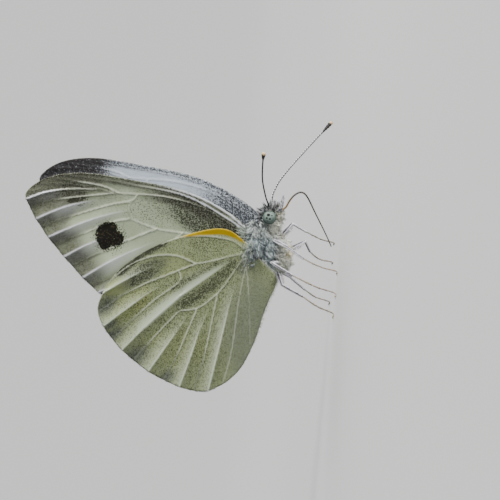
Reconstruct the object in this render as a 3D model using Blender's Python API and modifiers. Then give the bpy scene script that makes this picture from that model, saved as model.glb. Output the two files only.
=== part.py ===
"""White butterfly at rest: six feet on the floor, wings closed over the back, tongue and feelers out.

Life size. +X is forward, +Y is the butterfly's left and +Z is up. All lengths below are in millimetres,
measured forward and sideways from the middle of the thorax and up from the floor. At the end the whole
animal is moved so that the frame's origin lies on the floor below the middle of its box.
"""
import math

import bmesh
import bpy
from mathutils import Matrix, Vector

MM = 0.001                       # metres in a millimetre

# ---- driving dimensions (mm)
BOX_MIDDLE = (-0.837, -1.873)    # forward and sideways place of the middle of the finished box
WING_THICK = 0.5                 # wing plate
WING_GAP = 0.3                   # air between a forewing and the hindwing outside it
WING_LEAN = 6.5                  # degrees that each wing opens from upright
HINGE_Y = 1.05                   # forewing plate's middle, sideways from the body's middle
HINGE_Z = 9.5                    # height at which the wings start to open
HEM_TUCK = 0.05                  # how strongly the hindwing's hem curls in round the abdomen
HEM_Z = 9.0                      # height below which it curls
WING_RINGS = 4                   # rings of faces between a wing's middle and its rim
LEFT_FOREWING_PUSH = (1.0, -0.6)    # the left forewing is held further forward and a little lower
LEFT_FOREWING_TURN = 2.6         # degrees that it is turned back from there
EYE = Vector((4.0, 0.85, 7.7))
EYE_HALF = Vector((0.76, 0.55, 0.76))
SOCKET_GAP = 0.08
THORAX = Vector((-0.1, 0.0, 7.65))
THORAX_HALF = Vector((2.75, 1.65, 2.4))
THORAX_BELLY = 2.6               # half height below the thorax's middle
THORAX_BLUNT = 2.5               # above 2 the ends are fuller than a ball's
BELLY_SLOPE = 0.2                # the belly hangs lower behind than in front
HEAD = Vector((4.1, 0.0, 7.4))
HEAD_HALF = Vector((1.22, 0.85, 1.35))
ABDOMEN_FRONT = Vector((-3.0, 0.0, 7.8))
ABDOMEN_TAIL = Vector((-10.6, 0.0, 9.1))
ABDOMEN_RADIUS = 1.22
LIMB_RADIUS = 0.25               # the thinnest leg, feeler and tongue
COXA_DROP = 0.42                 # a leg starts this far below the thorax's surface
FOOT_Z = 0.2                     # height of the last tarsal joints' middle line, cut flat at the floor

# ---- wing outlines: forward and up, from the front of the root round the tip to the back of the root
FOREWING_OUTLINE = [
    (2.8, 10.0), (5.0, 13.1), (6.7, 17.2), (7.6, 22.5), (8.2, 28.0), (7.6, 31.8), (5.9, 34.2),
    (4.2, 33.9), (0.8, 31.7), (-3.6, 27.7), (-5.6, 25.1), (-5.0, 22.7), (-2.9, 18.0),
    (-0.5, 12.8), (0.9, 10.1),
]
FOREWING_MIDDLE = (2.6, 22.5)
HINDWING_OUTLINE = [
    (1.4, 10.2), (2.7, 12.3), (2.4, 15.1), (0.6, 19.8), (-2.0, 23.4), (-4.6, 25.2), (-7.3, 25.8),
    (-10.4, 24.0), (-13.2, 20.9), (-15.2, 17.3), (-16.0, 13.5), (-14.0, 10.2), (-10.4, 8.4),
    (-6.2, 7.4), (-3.0, 6.5), (-1.9, 7.8), (0.0, 9.1),
]
HINDWING_MIDDLE = (-6.0, 15.5)

# ---- legs: start under the thorax, knee, ankle, a point on the tarsus, and the toe on the floor
LEGS = {
    "leg_front_left": [(1.4, 0.7), (2.9, 1.8, 5.1), (1.8, 2.8, 3.4), (0.8, 3.9, 1.6), (0.1, 4.8)],
    "leg_front_right": [(1.6, -1.1), (1.1, -1.9, 5.6), (0.2, -3.2, 3.7), (-0.3, -4.2, 1.9), (-0.7, -5.2)],
    "leg_middle_left": [(-0.2, 0.7), (0.9, 2.2, 3.5), (-0.5, 3.1, 2.8), (-1.5, 4.1, 1.7), (-2.2, 5.0)],
    "leg_middle_right": [(-0.8, -1.15), (-0.6, -2.65, 7.2), (-1.6, -3.8, 4.8), (-2.4, -4.9, 2.2), (-3.1, -5.9)],
    "leg_hind_left": [(-2.1, 0.8), (-3.3, 1.9, 4.8), (-4.9, 3.0, 3.0), (-5.8, 3.7, 1.8), (-6.8, 4.6)],
    "leg_hind_right": [(-2.0, -0.8), (-3.1, -2.35, 5.9), (-4.0, -3.4, 3.5), (-4.8, -4.1, 1.9), (-5.7, -4.9)],
}

# ---- feelers, palps and tongue, from the head outwards
ANTENNA_LEFT = [
    (5.45, 0.45, 7.6), (6.5, 0.8, 7.4), (8.2, 1.5, 6.5), (11.2, 3.0, 4.0), (13.0, 3.85, 2.4), (14.1, 4.4, 1.45),
]
ANTENNA_RIGHT = [
    (5.45, -0.55, 7.95), (6.4, -1.5, 8.3), (8.7, -4.0, 8.85), (10.8, -6.2, 9.05), (12.8, -8.7, 9.1),
]
PALP = [(5.25, 0.62, 6.5), (5.7, 0.62, 6.4), (6.2, 0.6, 6.3)]
TONGUE = [
    (5.15, 0.0, 5.95), (5.8, 0.0, 5.65), (6.5, 0.0, 5.15), (6.88, 0.0, 4.45), (6.45, 0.0, 3.75),
    (4.65, 0.0, 2.7), (2.5, 0.0, 1.45), (1.0, 0.0, 0.65),
]


# ---- small helpers
def new_collection(name):
    made = bpy.data.collections.new(name)
    bpy.context.scene.collection.children.link(made)
    return made


def material(name, colour, roughness):
    made = bpy.data.materials.new(name)
    made.use_nodes = True
    shader = made.node_tree.nodes["Principled BSDF"]
    shader.inputs["Base Color"].default_value = (*colour, 1.0)
    shader.inputs["Roughness"].default_value = roughness
    shader.inputs["Metallic"].default_value = 0.0
    return made


def smooth_line(points, steps, closed=False):
    """Points of a Catmull-Rom curve through the given ones, with so many steps between two of them."""
    points = [Vector(p) for p in points]
    count = len(points)
    pick = (lambda i: points[i % count]) if closed else (lambda i: points[max(0, min(count - 1, i))])
    line = []
    for i in range(count if closed else count - 1):
        a, b, c, d = pick(i - 1), pick(i), pick(i + 1), pick(i + 2)
        for k in range(steps):
            t = k / steps
            line.append(0.5 * (2 * b + (c - a) * t + (2 * a - 5 * b + 4 * c - d) * t * t
                               + (3 * b - 3 * c + d - a) * t ** 3))
    if not closed:
        line.append(points[-1])
    return line


def add_object(name, mesh, paint, collection):
    mesh.shade_smooth()
    piece = bpy.data.objects.new(name, mesh)
    mesh.materials.append(paint)
    collection.objects.link(piece)
    return piece


def ring_size(along, blunt):
    """Size of a ball's cross-section at -1 to 1 along its axis, fuller near the ends as blunt grows."""
    return (1.0 - min(1.0, abs(along)) ** blunt) ** (1.0 / blunt)


def blob_mesh(name, middle, half, rings=12, sides=20, blunt=2.0, bend=None):
    """A ball with its poles along X, stretched to its half sizes; blunt above 2 squares off its ends."""
    shape = bmesh.new()
    bmesh.ops.create_uvsphere(shape, u_segments=sides, v_segments=rings, radius=1.0)
    bmesh.ops.rotate(shape, verts=shape.verts, matrix=Matrix.Rotation(math.radians(90), 3, "Y"))
    for vert in shape.verts:
        along = max(-1.0, min(1.0, vert.co.x))
        fuller = ring_size(along, blunt) / max(1e-4, ring_size(along, 2.0))
        place = Vector((along, vert.co.y * fuller, vert.co.z * fuller))
        place = Vector((place.x * half.x, place.y * half.y, place.z * half.z))
        if bend:
            place = bend(place)
        vert.co = (place + middle) * MM
    mesh = bpy.data.meshes.new(name)
    shape.to_mesh(mesh)
    shape.free()
    return mesh


def tube_mesh(name, points, radii, steps, floor_cut=False):
    """A round tube along a smooth line, thick as its radii say, closed at both ends."""
    line = smooth_line(points, steps)
    widths = smooth_line([(r, 0.0, 0.0) for r in radii], steps)
    curve = bpy.data.curves.new(name, "CURVE")
    curve.dimensions = "3D"
    curve.bevel_depth = MM
    curve.bevel_resolution = 2
    curve.use_fill_caps = True
    spline = curve.splines.new("POLY")
    spline.points.add(len(line) - 1)
    for point, place, width in zip(spline.points, line, widths):
        point.co = (*(place * MM), 1.0)
        point.radius = width.x
    guide = bpy.data.objects.new(name + "_curve", curve)
    bpy.context.scene.collection.objects.link(guide)
    evaluated = guide.evaluated_get(bpy.context.evaluated_depsgraph_get())
    mesh = bpy.data.meshes.new_from_object(evaluated)
    bpy.data.objects.remove(guide)
    shape = bmesh.new()
    shape.from_mesh(mesh)
    bmesh.ops.remove_doubles(shape, verts=shape.verts, dist=1e-7)
    if floor_cut:
        everything = shape.verts[:] + shape.edges[:] + shape.faces[:]
        bmesh.ops.bisect_plane(shape, geom=everything, plane_co=(0, 0, 0), plane_no=(0, 0, -1),
                               clear_outer=True)
        bmesh.ops.holes_fill(shape, edges=[e for e in shape.edges if e.is_boundary])
    bmesh.ops.recalc_face_normals(shape, faces=shape.faces)
    shape.to_mesh(mesh)
    shape.free()
    mesh.name = name
    return mesh


# ---- wings
def wing_side(height, outer):
    """How far a wing plate's middle stands from the body's middle plane at a height."""
    rise = height - HINGE_Z
    opened = (rise + math.sqrt(rise * rise + 1.0)) / 2.0
    side = HINGE_Y + math.tan(math.radians(WING_LEAN)) * opened
    if outer:
        side += WING_THICK + WING_GAP - HEM_TUCK * max(0.0, HEM_Z - height) ** 2
    return side


def wing(name, outline, middle, side, outer, paint, collection, push=(0.0, 0.0), turn=0.0):
    """A plate cut to the outline, leaning outwards, given its thickness by a Solidify modifier."""
    rim = smooth_line([(x, 0.0, z) for x, z in outline], 3, closed=True)
    pole = Vector((middle[0], 0.0, middle[1]))
    root = Vector((outline[0][0], 0.0, outline[0][1]))
    swing = Matrix.Rotation(math.radians(-turn), 3, "Y")
    shape = bmesh.new()

    def vertex(flat):
        moved = swing @ (flat - root) + root + Vector((push[0], 0.0, push[1]))
        moved.y = side * wing_side(moved.z, outer)
        return shape.verts.new(moved * MM)

    centre = vertex(pole)
    loops = []
    for ring in range(1, WING_RINGS + 1):
        loops.append([vertex(pole + (edge - pole) * (ring / WING_RINGS)) for edge in rim])
    count = len(rim)
    for i in range(count):
        after = (i + 1) % count
        shape.faces.new((centre, loops[0][i], loops[0][after]))
        for inner_loop, outer_loop in zip(loops, loops[1:]):
            shape.faces.new((inner_loop[i], outer_loop[i], outer_loop[after], inner_loop[after]))
    bmesh.ops.triangulate(shape, faces=shape.faces)
    bmesh.ops.recalc_face_normals(shape, faces=shape.faces)
    mesh = bpy.data.meshes.new(name)
    shape.to_mesh(mesh)
    shape.free()
    piece = add_object(name, mesh, paint, collection)
    plate = piece.modifiers.new("plate", "SOLIDIFY")
    plate.thickness = WING_THICK * MM
    plate.offset = 0.0
    plate.use_even_offset = False
    return piece


# ---- body
def thorax_bend(place):
    if place.z >= 0.0:
        return place
    slope = 1.0 - BELLY_SLOPE * place.x / THORAX_HALF.x
    return Vector((place.x, place.y, place.z * slope * THORAX_BELLY / THORAX_HALF.z))


def below_thorax(x, y):
    """Height at which a leg starts under the thorax."""
    along = (x - THORAX.x) / THORAX_HALF.x
    depth = math.sqrt(ring_size(along, THORAX_BLUNT) ** 2 - (y / THORAX_HALF.y) ** 2)
    return THORAX.z - THORAX_BELLY * (1.0 - BELLY_SLOPE * along) * depth - COXA_DROP


def body(collection):
    coat = material("coat", (0.62, 0.66, 0.66), 0.85)
    mesh = blob_mesh("thorax", THORAX, THORAX_HALF, 14, 22, blunt=THORAX_BLUNT, bend=thorax_bend)
    add_object("thorax", mesh, coat, collection)

    length = ABDOMEN_FRONT.x - ABDOMEN_TAIL.x
    rise = (ABDOMEN_TAIL.z - ABDOMEN_FRONT.z) / length

    def abdomen_bend(place):
        back = 0.5 - place.x / length           # 0 at the waist, 1 at the tail
        slim = 1.0 - 0.35 * back * back
        return Vector((place.x, place.y * slim, place.z * slim - place.x * rise))

    middle = (ABDOMEN_FRONT + ABDOMEN_TAIL) / 2.0
    half = Vector((length / 2.0, ABDOMEN_RADIUS, ABDOMEN_RADIUS))
    mesh = blob_mesh("abdomen", middle, half, 14, 18, blunt=2.6, bend=abdomen_bend)
    add_object("abdomen", mesh, coat, collection)


def head(collection, cutters):
    skin = material("face", (0.60, 0.60, 0.56), 0.85)
    glassy = material("eye", (0.42, 0.50, 0.42), 0.2)
    skull = add_object("head", blob_mesh("head", HEAD, HEAD_HALF, 12, 20, blunt=2.4), skin, collection)
    gap = Vector((SOCKET_GAP, SOCKET_GAP, SOCKET_GAP))
    for name, side in (("left", 1.0), ("right", -1.0)):
        place = Vector((EYE.x, side * EYE.y, EYE.z))
        add_object("eye_" + name, blob_mesh("eye_" + name, place, EYE_HALF, 10, 16), glassy, collection)
        socket_mesh = blob_mesh("socket_" + name, place, EYE_HALF + gap, 10, 16)
        socket = add_object("socket_" + name, socket_mesh, skin, cutters)
        socket.hide_render = True
        socket.display_type = "WIRE"
        cut = skull.modifiers.new("socket_" + name, "BOOLEAN")
        cut.object = socket
        cut.operation = "DIFFERENCE"
        cut.solver = "EXACT"


def feelers(collection):
    horn = material("feeler", (0.10, 0.09, 0.08), 0.6)
    pale = material("palp", (0.75, 0.74, 0.70), 0.8)
    tongue = material("tongue", (0.25, 0.14, 0.07), 0.5)
    for name, points in (("antenna_left", ANTENNA_LEFT), ("antenna_right", ANTENNA_RIGHT)):
        radii = [LIMB_RADIUS] * (len(points) - 2) + [LIMB_RADIUS * 1.2, LIMB_RADIUS * 1.3]
        add_object(name, tube_mesh(name, points, radii, 5), horn, collection)
    for name, side in (("palp_left", 1.0), ("palp_right", -1.0)):
        points = [(x, y * side, z) for x, y, z in PALP]
        add_object(name, tube_mesh(name, points, [0.3, 0.28, LIMB_RADIUS], 4), pale, collection)
    mesh = tube_mesh("proboscis", TONGUE, [LIMB_RADIUS] * len(TONGUE), 4)
    add_object("proboscis", mesh, tongue, collection)


def legs(collection):
    scaled = material("leg", (0.70, 0.68, 0.66), 0.6)
    for name, (start, knee, ankle, tarsus, toe) in LEGS.items():
        heel = (tarsus[0] * 0.45 + toe[0] * 0.55, tarsus[1] * 0.45 + toe[1] * 0.55, FOOT_Z)
        points = [(*start, below_thorax(*start)), knee, ankle, tarsus, heel, (*toe, FOOT_Z)]
        radii = [0.3, 0.28] + [LIMB_RADIUS] * 4
        add_object(name, tube_mesh(name, points, radii, 5, floor_cut=True), scaled, collection)


def wings(collection):
    upper = material("forewing", (0.60, 0.64, 0.56), 0.7)
    lower = material("hindwing", (0.52, 0.56, 0.40), 0.7)
    for name, side in (("left", 1.0), ("right", -1.0)):
        left = side > 0
        wing("forewing_" + name, FOREWING_OUTLINE, FOREWING_MIDDLE, side, False, upper, collection,
             LEFT_FOREWING_PUSH if left else (0.0, 0.0), LEFT_FOREWING_TURN if left else 0.0)
        wing("hindwing_" + name, HINDWING_OUTLINE, HINDWING_MIDDLE, side, True, lower, collection)


def main():
    for old in list(bpy.data.objects):
        bpy.data.objects.remove(old)
    collection = new_collection("white_butterfly")
    cutters = new_collection("cutters")
    body(collection)
    head(collection, cutters)
    feelers(collection)
    legs(collection)
    wings(collection)
    stand = bpy.data.objects.new("butterfly", None)
    collection.objects.link(stand)
    for piece in list(collection.objects) + list(cutters.objects):
        if piece is not stand:
            piece.parent = stand
    stand.location = (-BOX_MIDDLE[0] * MM, -BOX_MIDDLE[1] * MM, 0.0)


main()
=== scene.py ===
# %% [markdown]
# # A small white butterfly, life size
# The model is a still specimen that stands on its six feet with its wings closed over its back. The solids
# for collision are loaded first, and every visible piece below is built around them in the same place. The
# wings, the woolly body, the eyes and the thin limbs each get a step of their own.

# %% Load the solids
import math

import bmesh
import bpy
import numpy as np
from mathutils import Matrix, Vector
from mathutils.geometry import delaunay_2d_cdt


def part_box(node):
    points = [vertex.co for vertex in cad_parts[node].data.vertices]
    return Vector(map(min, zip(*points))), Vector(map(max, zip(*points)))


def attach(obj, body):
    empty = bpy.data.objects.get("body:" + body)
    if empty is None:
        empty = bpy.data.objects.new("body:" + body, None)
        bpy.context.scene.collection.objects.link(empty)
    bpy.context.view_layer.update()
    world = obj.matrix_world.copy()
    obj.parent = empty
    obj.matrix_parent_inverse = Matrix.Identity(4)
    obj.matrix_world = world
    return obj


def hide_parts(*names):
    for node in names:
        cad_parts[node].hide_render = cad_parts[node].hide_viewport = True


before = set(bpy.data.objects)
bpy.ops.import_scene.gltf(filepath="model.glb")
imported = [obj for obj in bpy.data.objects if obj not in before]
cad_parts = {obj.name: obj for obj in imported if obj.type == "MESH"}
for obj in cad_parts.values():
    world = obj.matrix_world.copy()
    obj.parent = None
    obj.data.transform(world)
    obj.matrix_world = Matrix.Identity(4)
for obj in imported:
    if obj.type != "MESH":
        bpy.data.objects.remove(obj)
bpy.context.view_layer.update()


# %% [markdown]
# The animal is easiest to describe in millimetres, measured forward and sideways from the middle of its
# thorax and up from the floor. The thorax itself has no mark to measure from, but the two eyes stand at a
# known distance in front of its middle, so their boxes tell where it is. One function then takes every
# point from millimetres into the metres of the loaded solids.

# %% Millimetres from the middle of the thorax
MM = 0.001
EYES_AHEAD = 4.0          # from the middle of the thorax to the middle of the eyes


def node_box(name):
    """Lowest and highest corner of a solid, in millimetres from the middle of the thorax."""
    low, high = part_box(name)
    return np.array(low) / MM - ORIGIN, np.array(high) / MM - ORIGIN


ORIGIN = np.zeros(3)
eye_corners = np.array([node_box("eye_left"), node_box("eye_right")]).reshape(-1, 3)
eyes_middle = (eye_corners.min(0) + eye_corners.max(0)) / 2
ORIGIN = np.array([eyes_middle[0] - EYES_AHEAD, eyes_middle[1], 0.0])
print("middle of the thorax in the frame, mm:", ORIGIN.round(3))


def in_metres(points):
    return (np.asarray(points, float) + ORIGIN) * MM


# %% [markdown]
# Nearly everything here is made from many small faces, so the mesh is filled from arrays. A mesh can carry
# named numbers on its points, and the materials read them: how near a vein is, how thick the dark dust
# lies, how far along a hair a point is. One helper makes the object, its materials and those numbers, and
# hides the solids that it stands for.

# %% Making a piece from arrays
def placed(name, data):
    """A new object in the scene."""
    made = bpy.data.objects.new(name, data)
    bpy.context.scene.collection.objects.link(made)
    return made


def new_mesh(name, points, faces, paints=(), face_paint=None):
    mesh = bpy.data.meshes.new(name)
    faces = [np.asarray(group, np.int32) for group in (faces if isinstance(faces, list) else [faces])]
    corners = np.concatenate([group.ravel() for group in faces])
    sizes = np.concatenate([np.full(len(group), group.shape[1], np.int32) for group in faces])
    mesh.vertices.add(len(points))
    mesh.vertices.foreach_set("co", in_metres(points).astype(np.float32).ravel())
    mesh.loops.add(len(corners))
    mesh.loops.foreach_set("vertex_index", corners)
    mesh.polygons.add(len(sizes))
    mesh.polygons.foreach_set("loop_start", np.concatenate([[0], np.cumsum(sizes)[:-1]]).astype(np.int32))
    mesh.update(calc_edges=True)
    for paint in paints:
        mesh.materials.append(paint)
    if face_paint is not None:
        mesh.polygons.foreach_set("material_index", np.asarray(face_paint, np.int32))
    mesh.validate()
    mesh.shade_smooth()
    return mesh


def keep_numbers(mesh, **named):
    """Keeps one number, or three, for each point under a name that the materials read."""
    for name, values in named.items():
        values = np.asarray(values, np.float32)
        if values.ndim == 2:
            mesh.attributes.new(name, "FLOAT_VECTOR", "POINT").data.foreach_set("vector", values.ravel())
        else:
            mesh.attributes.new(name, "FLOAT", "POINT").data.foreach_set("value", values)


def keep_bake_map(mesh, places):
    """The map that an export bakes colours through: each point's place on the skin that is laid out flat."""
    layer = mesh.uv_layers.new(name="OFBake")
    index = np.empty(len(mesh.loops), np.int32)
    mesh.loops.foreach_get("vertex_index", index)
    layer.data.foreach_set("uv", np.asarray(places, np.float32)[index].ravel())


def add_piece(name, mesh, slot, nodes=()):
    piece = placed(name, mesh)
    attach(piece, "root")
    if nodes:
        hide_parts(*nodes)
    mesh.calc_loop_triangles()
    print(f"{name}: {len(mesh.loop_triangles)} triangles")
    return piece


# %% [markdown]
# Material maths reads best as ordinary sums. The small class below wraps one socket of a material, and each
# sum on it adds the Math node that does it. Colours don't survive a Math node, so they are mixed with Mix
# nodes instead, and any other node comes from the same method.

# %% Sockets that can be added and multiplied
class Wire:
    """A number or colour socket of a material."""

    def __init__(self, socket):
        self.socket = socket
        self.tree = socket.id_data

    def node(self, kind, settings=(), sockets=(), output=0):
        return add_node(self.tree, kind, settings, sockets, output)

    def maths(self, operation, *values):
        return self.node("ShaderNodeMath", {"operation": operation}, dict(enumerate(values)))

    def __add__(self, other):
        return self.maths("ADD", self, other)

    def __sub__(self, other):
        return self.maths("SUBTRACT", self, other)

    def __rsub__(self, other):
        return self.maths("SUBTRACT", other, self)

    def __mul__(self, other):
        return self.maths("MULTIPLY", self, other)

    def __gt__(self, other):
        return self.maths("GREATER_THAN", self, other)

    __radd__ = __add__
    __rmul__ = __mul__

    def clamped(self):
        return self.maths("MAXIMUM", self.maths("MINIMUM", self, 1.0), 0.0)

    def between(self, low, high):
        """0 at low and below, 1 at high and above, and smooth in between."""
        settings = {"interpolation_type": "SMOOTHSTEP"}
        return self.node("ShaderNodeMapRange", settings, {0: self, 1: low, 2: high})


def add_node(tree, kind, settings=(), sockets=(), output=0):
    """Any other node: its settings are set first, then the values or links of its sockets."""
    made = tree.nodes.new(kind)
    for name, value in dict(settings).items():
        setattr(made, name, value)
    for name, value in dict(sockets).items():
        if isinstance(value, Wire):
            tree.links.new(value.socket, made.inputs[name])
        else:
            made.inputs[name].default_value = value
    return Wire(made.outputs[output])


def tint(red, green, blue):
    """A colour given as on a screen, 0 to 255, in the light that it stands for."""
    parts = np.array([red, green, blue]) / 255
    light = np.where(parts <= 0.04045, parts / 12.92, ((parts + 0.055) / 1.055) ** 2.4)
    return (*(float(v) for v in light), 1.0)


def mix(share, first, second):
    """The second colour laid over the first by a share from 0 to 1."""
    settings = {"data_type": "RGBA", "clamp_factor": True}
    return share.node("ShaderNodeMix", settings, {0: share, 6: first, 7: second}, 2)


def layered(colour, *layers):
    """A colour with others laid over it one by one, each by its own share."""
    for share, over in layers:
        colour = mix(share, colour, over)
    return colour


class Paint:
    """A material with its Principled shader, and the few sources that its patterns start from."""

    def __init__(self, name, **fixed):
        self.material = bpy.data.materials.new(name)
        self.material.use_nodes = True
        self.tree = self.material.node_tree
        self.shader = self.tree.nodes["Principled BSDF"]
        for socket, value in fixed.items():
            self.shader.inputs[socket.replace("_", " ")].default_value = value

    def node(self, kind, settings=(), sockets=(), output=0):
        return add_node(self.tree, kind, settings, sockets, output)

    def kept(self, name):
        """A number that the mesh keeps for each point."""
        return self.node("ShaderNodeAttribute", {"attribute_name": name}, output=2)

    def kept_place(self, name):
        """A place that the mesh keeps for each point."""
        return self.node("ShaderNodeAttribute", {"attribute_name": name}, output=1)

    def body_place(self):
        """Place on the object, in metres."""
        return self.node("ShaderNodeTexCoord", output=3)

    def stretched(self, place, x, y, z):
        return self.node("ShaderNodeVectorMath", {"operation": "MULTIPLY"}, {0: place, 1: (x, y, z)})

    def noise(self, place, scale, detail=2.0):
        return self.node("ShaderNodeTexNoise", (), {"Vector": place, "Scale": scale, "Detail": detail})

    def grains(self, place, scale, output=1, flat=False):
        """One random colour for each grain, or with output 0 the distance to its middle."""
        settings = {"voronoi_dimensions": "2D" if flat else "3D"}
        return self.node("ShaderNodeTexVoronoi", settings, {"Vector": place, "Scale": scale}, output)

    def chance(self, place, scale, flat=False):
        """One random number from 0 to 1 for each grain."""
        return self.node("ShaderNodeSeparateColor", (), {0: self.grains(place, scale, 1, flat)})

    def dots(self, place, scale, cover):
        """Round dark scales of mixed sizes; cover, from 0 to 1, is how much of the ground they hide."""
        gap = self.grains(place, scale, 0, flat=True)
        drawn = (cover * 1.7 - self.chance(place, scale, flat=True)).between(0.0, 0.15)
        return (cover * 0.5 + 0.22 - gap).between(0.0, 0.16) * drawn

    def repeated(self, along, count):
        """Runs from 0 to 1 so many times."""
        return self.node("ShaderNodeMath", {"operation": "FRACT"}, {0: along * count})

    def bump(self, height, strength, distance):
        sockets = {"Height": height, "Strength": strength, "Distance": distance}
        return self.node("ShaderNodeBump", (), sockets)

    def set(self, **wires):
        for name, wire in wires.items():
            self.tree.links.new(wire.socket, self.shader.inputs[name.replace("_", " ")])
        return self.material


# %% [markdown]
# The stage is a wide plain bowl: a flat floor that curves up far away into a low wall all round, so that no
# edge shows whichever way the camera looks. A bowl is a profile turned about the upright axis. It is a
# little darker than white, and the pale wings stand out from it. It also glows faintly, more so far away,
# and this evens out its tone. It throws no light onto the animal and no shadow over it, so that a lamp can
# stand below the level of the feet.

# %% The floor and the wall behind
STAGE_FLAT = 430.0        # radius of the flat floor
STAGE_CURVE = 210.0       # radius of the curve into the wall
STAGE_WALL = 260.0        # height of the wall's rim
STAGE_STEPS = 12          # straight pieces in the curve
STAGE_BEND = 6.5          # degrees that each of them turns
STAGE_SIDES = 128
STAGE_INNER = 60.0        # radius of the floor's inner part
STAGE_BRIM = 12.0         # how far the rim leans out
NEAR_GLOW = (0.54, 0.54, 0.535, 1.0)
FAR_GLOW = (0.85, 0.852, 0.845, 1.0)
GLOW_REACH = 0.16         # metres from the animal at which the far glow is reached
NEAR_TONE = (152, 153, 151)
FAR_TONE = (72, 73, 71)


def ring_bands(rings, sides):
    """Four-sided faces between each ring of points and the next."""
    here = np.arange(sides)
    after = (here + 1) % sides
    band = np.stack([here, after, after + sides, here + sides], 1)
    return np.concatenate([band + ring * sides for ring in range(rings - 1)])


def closed_rings(rings, sides):
    """Triangles of a closed row of rings: the bands between them, and a fan over each end."""
    bands = ring_bands(rings, sides)
    first = np.array([[0, k + 1, k] for k in range(1, sides - 1)])
    last = first[:, ::-1] + (rings - 1) * sides
    return np.concatenate([bands[:, [0, 1, 2]], bands[:, [0, 2, 3]], first, last])


def turned(profile, sides):
    """Points and faces of a profile of (radius, height) turned about the upright axis."""
    turns = np.arange(sides) * 2 * math.pi / sides
    rings = [np.stack([r * np.cos(turns), r * np.sin(turns), np.full(sides, h)], 1) for r, h in profile]
    return np.concatenate(rings), ring_bands(len(rings), sides)


sweep = [(0.01, 0.0), (STAGE_INNER, 0.0), (STAGE_FLAT, 0.0)]
for step in range(1, STAGE_STEPS + 1):
    bend = math.radians(step * STAGE_BEND)
    sweep.append((STAGE_FLAT + STAGE_CURVE * math.sin(bend), STAGE_CURVE * (1 - math.cos(bend))))
sweep.append((sweep[-1][0] + STAGE_BRIM, STAGE_WALL))
card = Paint("card", Roughness=0.9, Specular_IOR_Level=0.1, Emission_Strength=1.0)
reach = card.node("ShaderNodeVectorMath", {"operation": "LENGTH"}, {0: card.body_place()}, output=1)
far = reach.between(0.0, GLOW_REACH)
glow = mix(far, NEAR_GLOW, FAR_GLOW)
card.set(Base_Color=mix(far, tint(*NEAR_TONE), tint(*FAR_TONE)), Emission_Color=glow)
stage_mesh = new_mesh("floor", *turned(sweep, STAGE_SIDES), paints=[card.material])
floor = placed("floor", stage_mesh)
floor.visible_diffuse = False
floor.visible_shadow = False
print("stage:", len(stage_mesh.polygons), "faces")

# %% [markdown]
# The camera looks at the butterfly's right side from a little in front, almost level, and is rolled so that
# the head points to the top of the picture. A long lens from 0.3 m keeps the wings free of distortion.
# The main lamp is broad and stands on the head's side, so the folds of the wings catch it along one flank.
# Three dimmer ones help: a wide one in front opens the shadows, one stands behind the wings, and one lights
# the breast and the throat from below. Each lamp's direction is written along the picture's own right, its
# top and the way back to the camera.

# %% Camera and lights
VIEW_FROM = 14.0          # degrees in front of the right side
VIEW_ABOVE = 1.5          # degrees above level
VIEW_ROLL = 3.9           # degrees that the body leans in the picture
VIEW_REACH = 300.0        # from the camera to the middle of the view
VIEW_WIDTH = 55.0         # what the view takes in at that distance
SENSOR = 36.0
VIEW_MIDDLE = np.array([0.0, 0.0, 9.55])
SKY_COLOUR = (0.93, 0.96, 1.0, 1.0)
SKY_POWER = 0.24


def view_axes():
    """Where the picture's right, its top and the camera lie, as directions."""
    turn, rise, roll = (math.radians(v) for v in (VIEW_FROM, VIEW_ABOVE, VIEW_ROLL))
    back = np.array([math.sin(turn) * math.cos(rise), -math.cos(turn) * math.cos(rise), math.sin(rise)])
    level = np.array([math.cos(turn), math.sin(turn), 0.0])
    above = np.cross(level, -back)
    right = math.sin(roll) * level - math.cos(roll) * above
    top = math.cos(roll) * level + math.sin(roll) * above
    return right, top, back


view_right, view_top, view_back = view_axes()
lens = bpy.data.cameras.new("camera")
lens.sensor_width = SENSOR
lens.lens = SENSOR * VIEW_REACH / VIEW_WIDTH
lens.clip_start = 0.01
camera = placed("camera", lens)
turn_matrix = Matrix([list(row) for row in np.stack([view_right, view_top, view_back], 1)]).to_4x4()
camera.matrix_world = Matrix.Translation(in_metres(VIEW_MIDDLE + view_back * VIEW_REACH)) @ turn_matrix
bpy.context.scene.camera = camera


LAMPS = {
    # (right, top, back), distance, size, power, colour
    "key": ((-0.2, 1.0, 0.5), 330.0, 120.0, 2.8, (1.0, 0.99, 0.97)),
    "fill": ((-0.8, -0.35, 1.0), 400.0, 300.0, 0.1, (0.95, 0.98, 1.0)),
    "rear": ((-0.9, 0.5, -0.9), 400.0, 300.0, 0.9, (0.97, 0.99, 1.0)),
    "under": ((0.9, 0.45, 0.6), 300.0, 160.0, 0.5, (1.0, 0.99, 0.97)),
}


def soft_light(name, direction, reach, size, power, colour):
    """A round lamp that looks at the middle of the butterfly."""
    lamp = bpy.data.lights.new(name, "AREA")
    lamp.shape = "DISK"
    lamp.size = size * MM
    lamp.energy = power
    lamp.color = colour
    holder = placed(name, lamp)
    toward = Vector(direction @ np.array([view_right, view_top, view_back])).normalized()
    holder.location = Vector(in_metres(VIEW_MIDDLE)) + toward * reach * MM
    holder.rotation_mode = "QUATERNION"
    holder.rotation_quaternion = toward.to_track_quat("Z", "Y")


for name, (direction, *rest) in LAMPS.items():
    soft_light(name, np.array(direction), *rest)
sky = bpy.data.worlds.new("sky")
sky.use_nodes = True
sky.node_tree.nodes["Background"].inputs["Color"].default_value = SKY_COLOUR
sky.node_tree.nodes["Background"].inputs["Strength"].default_value = SKY_POWER
bpy.context.scene.world = sky
print("lens:", round(lens.lens), "mm; lamps:", ", ".join(LAMPS))

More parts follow.
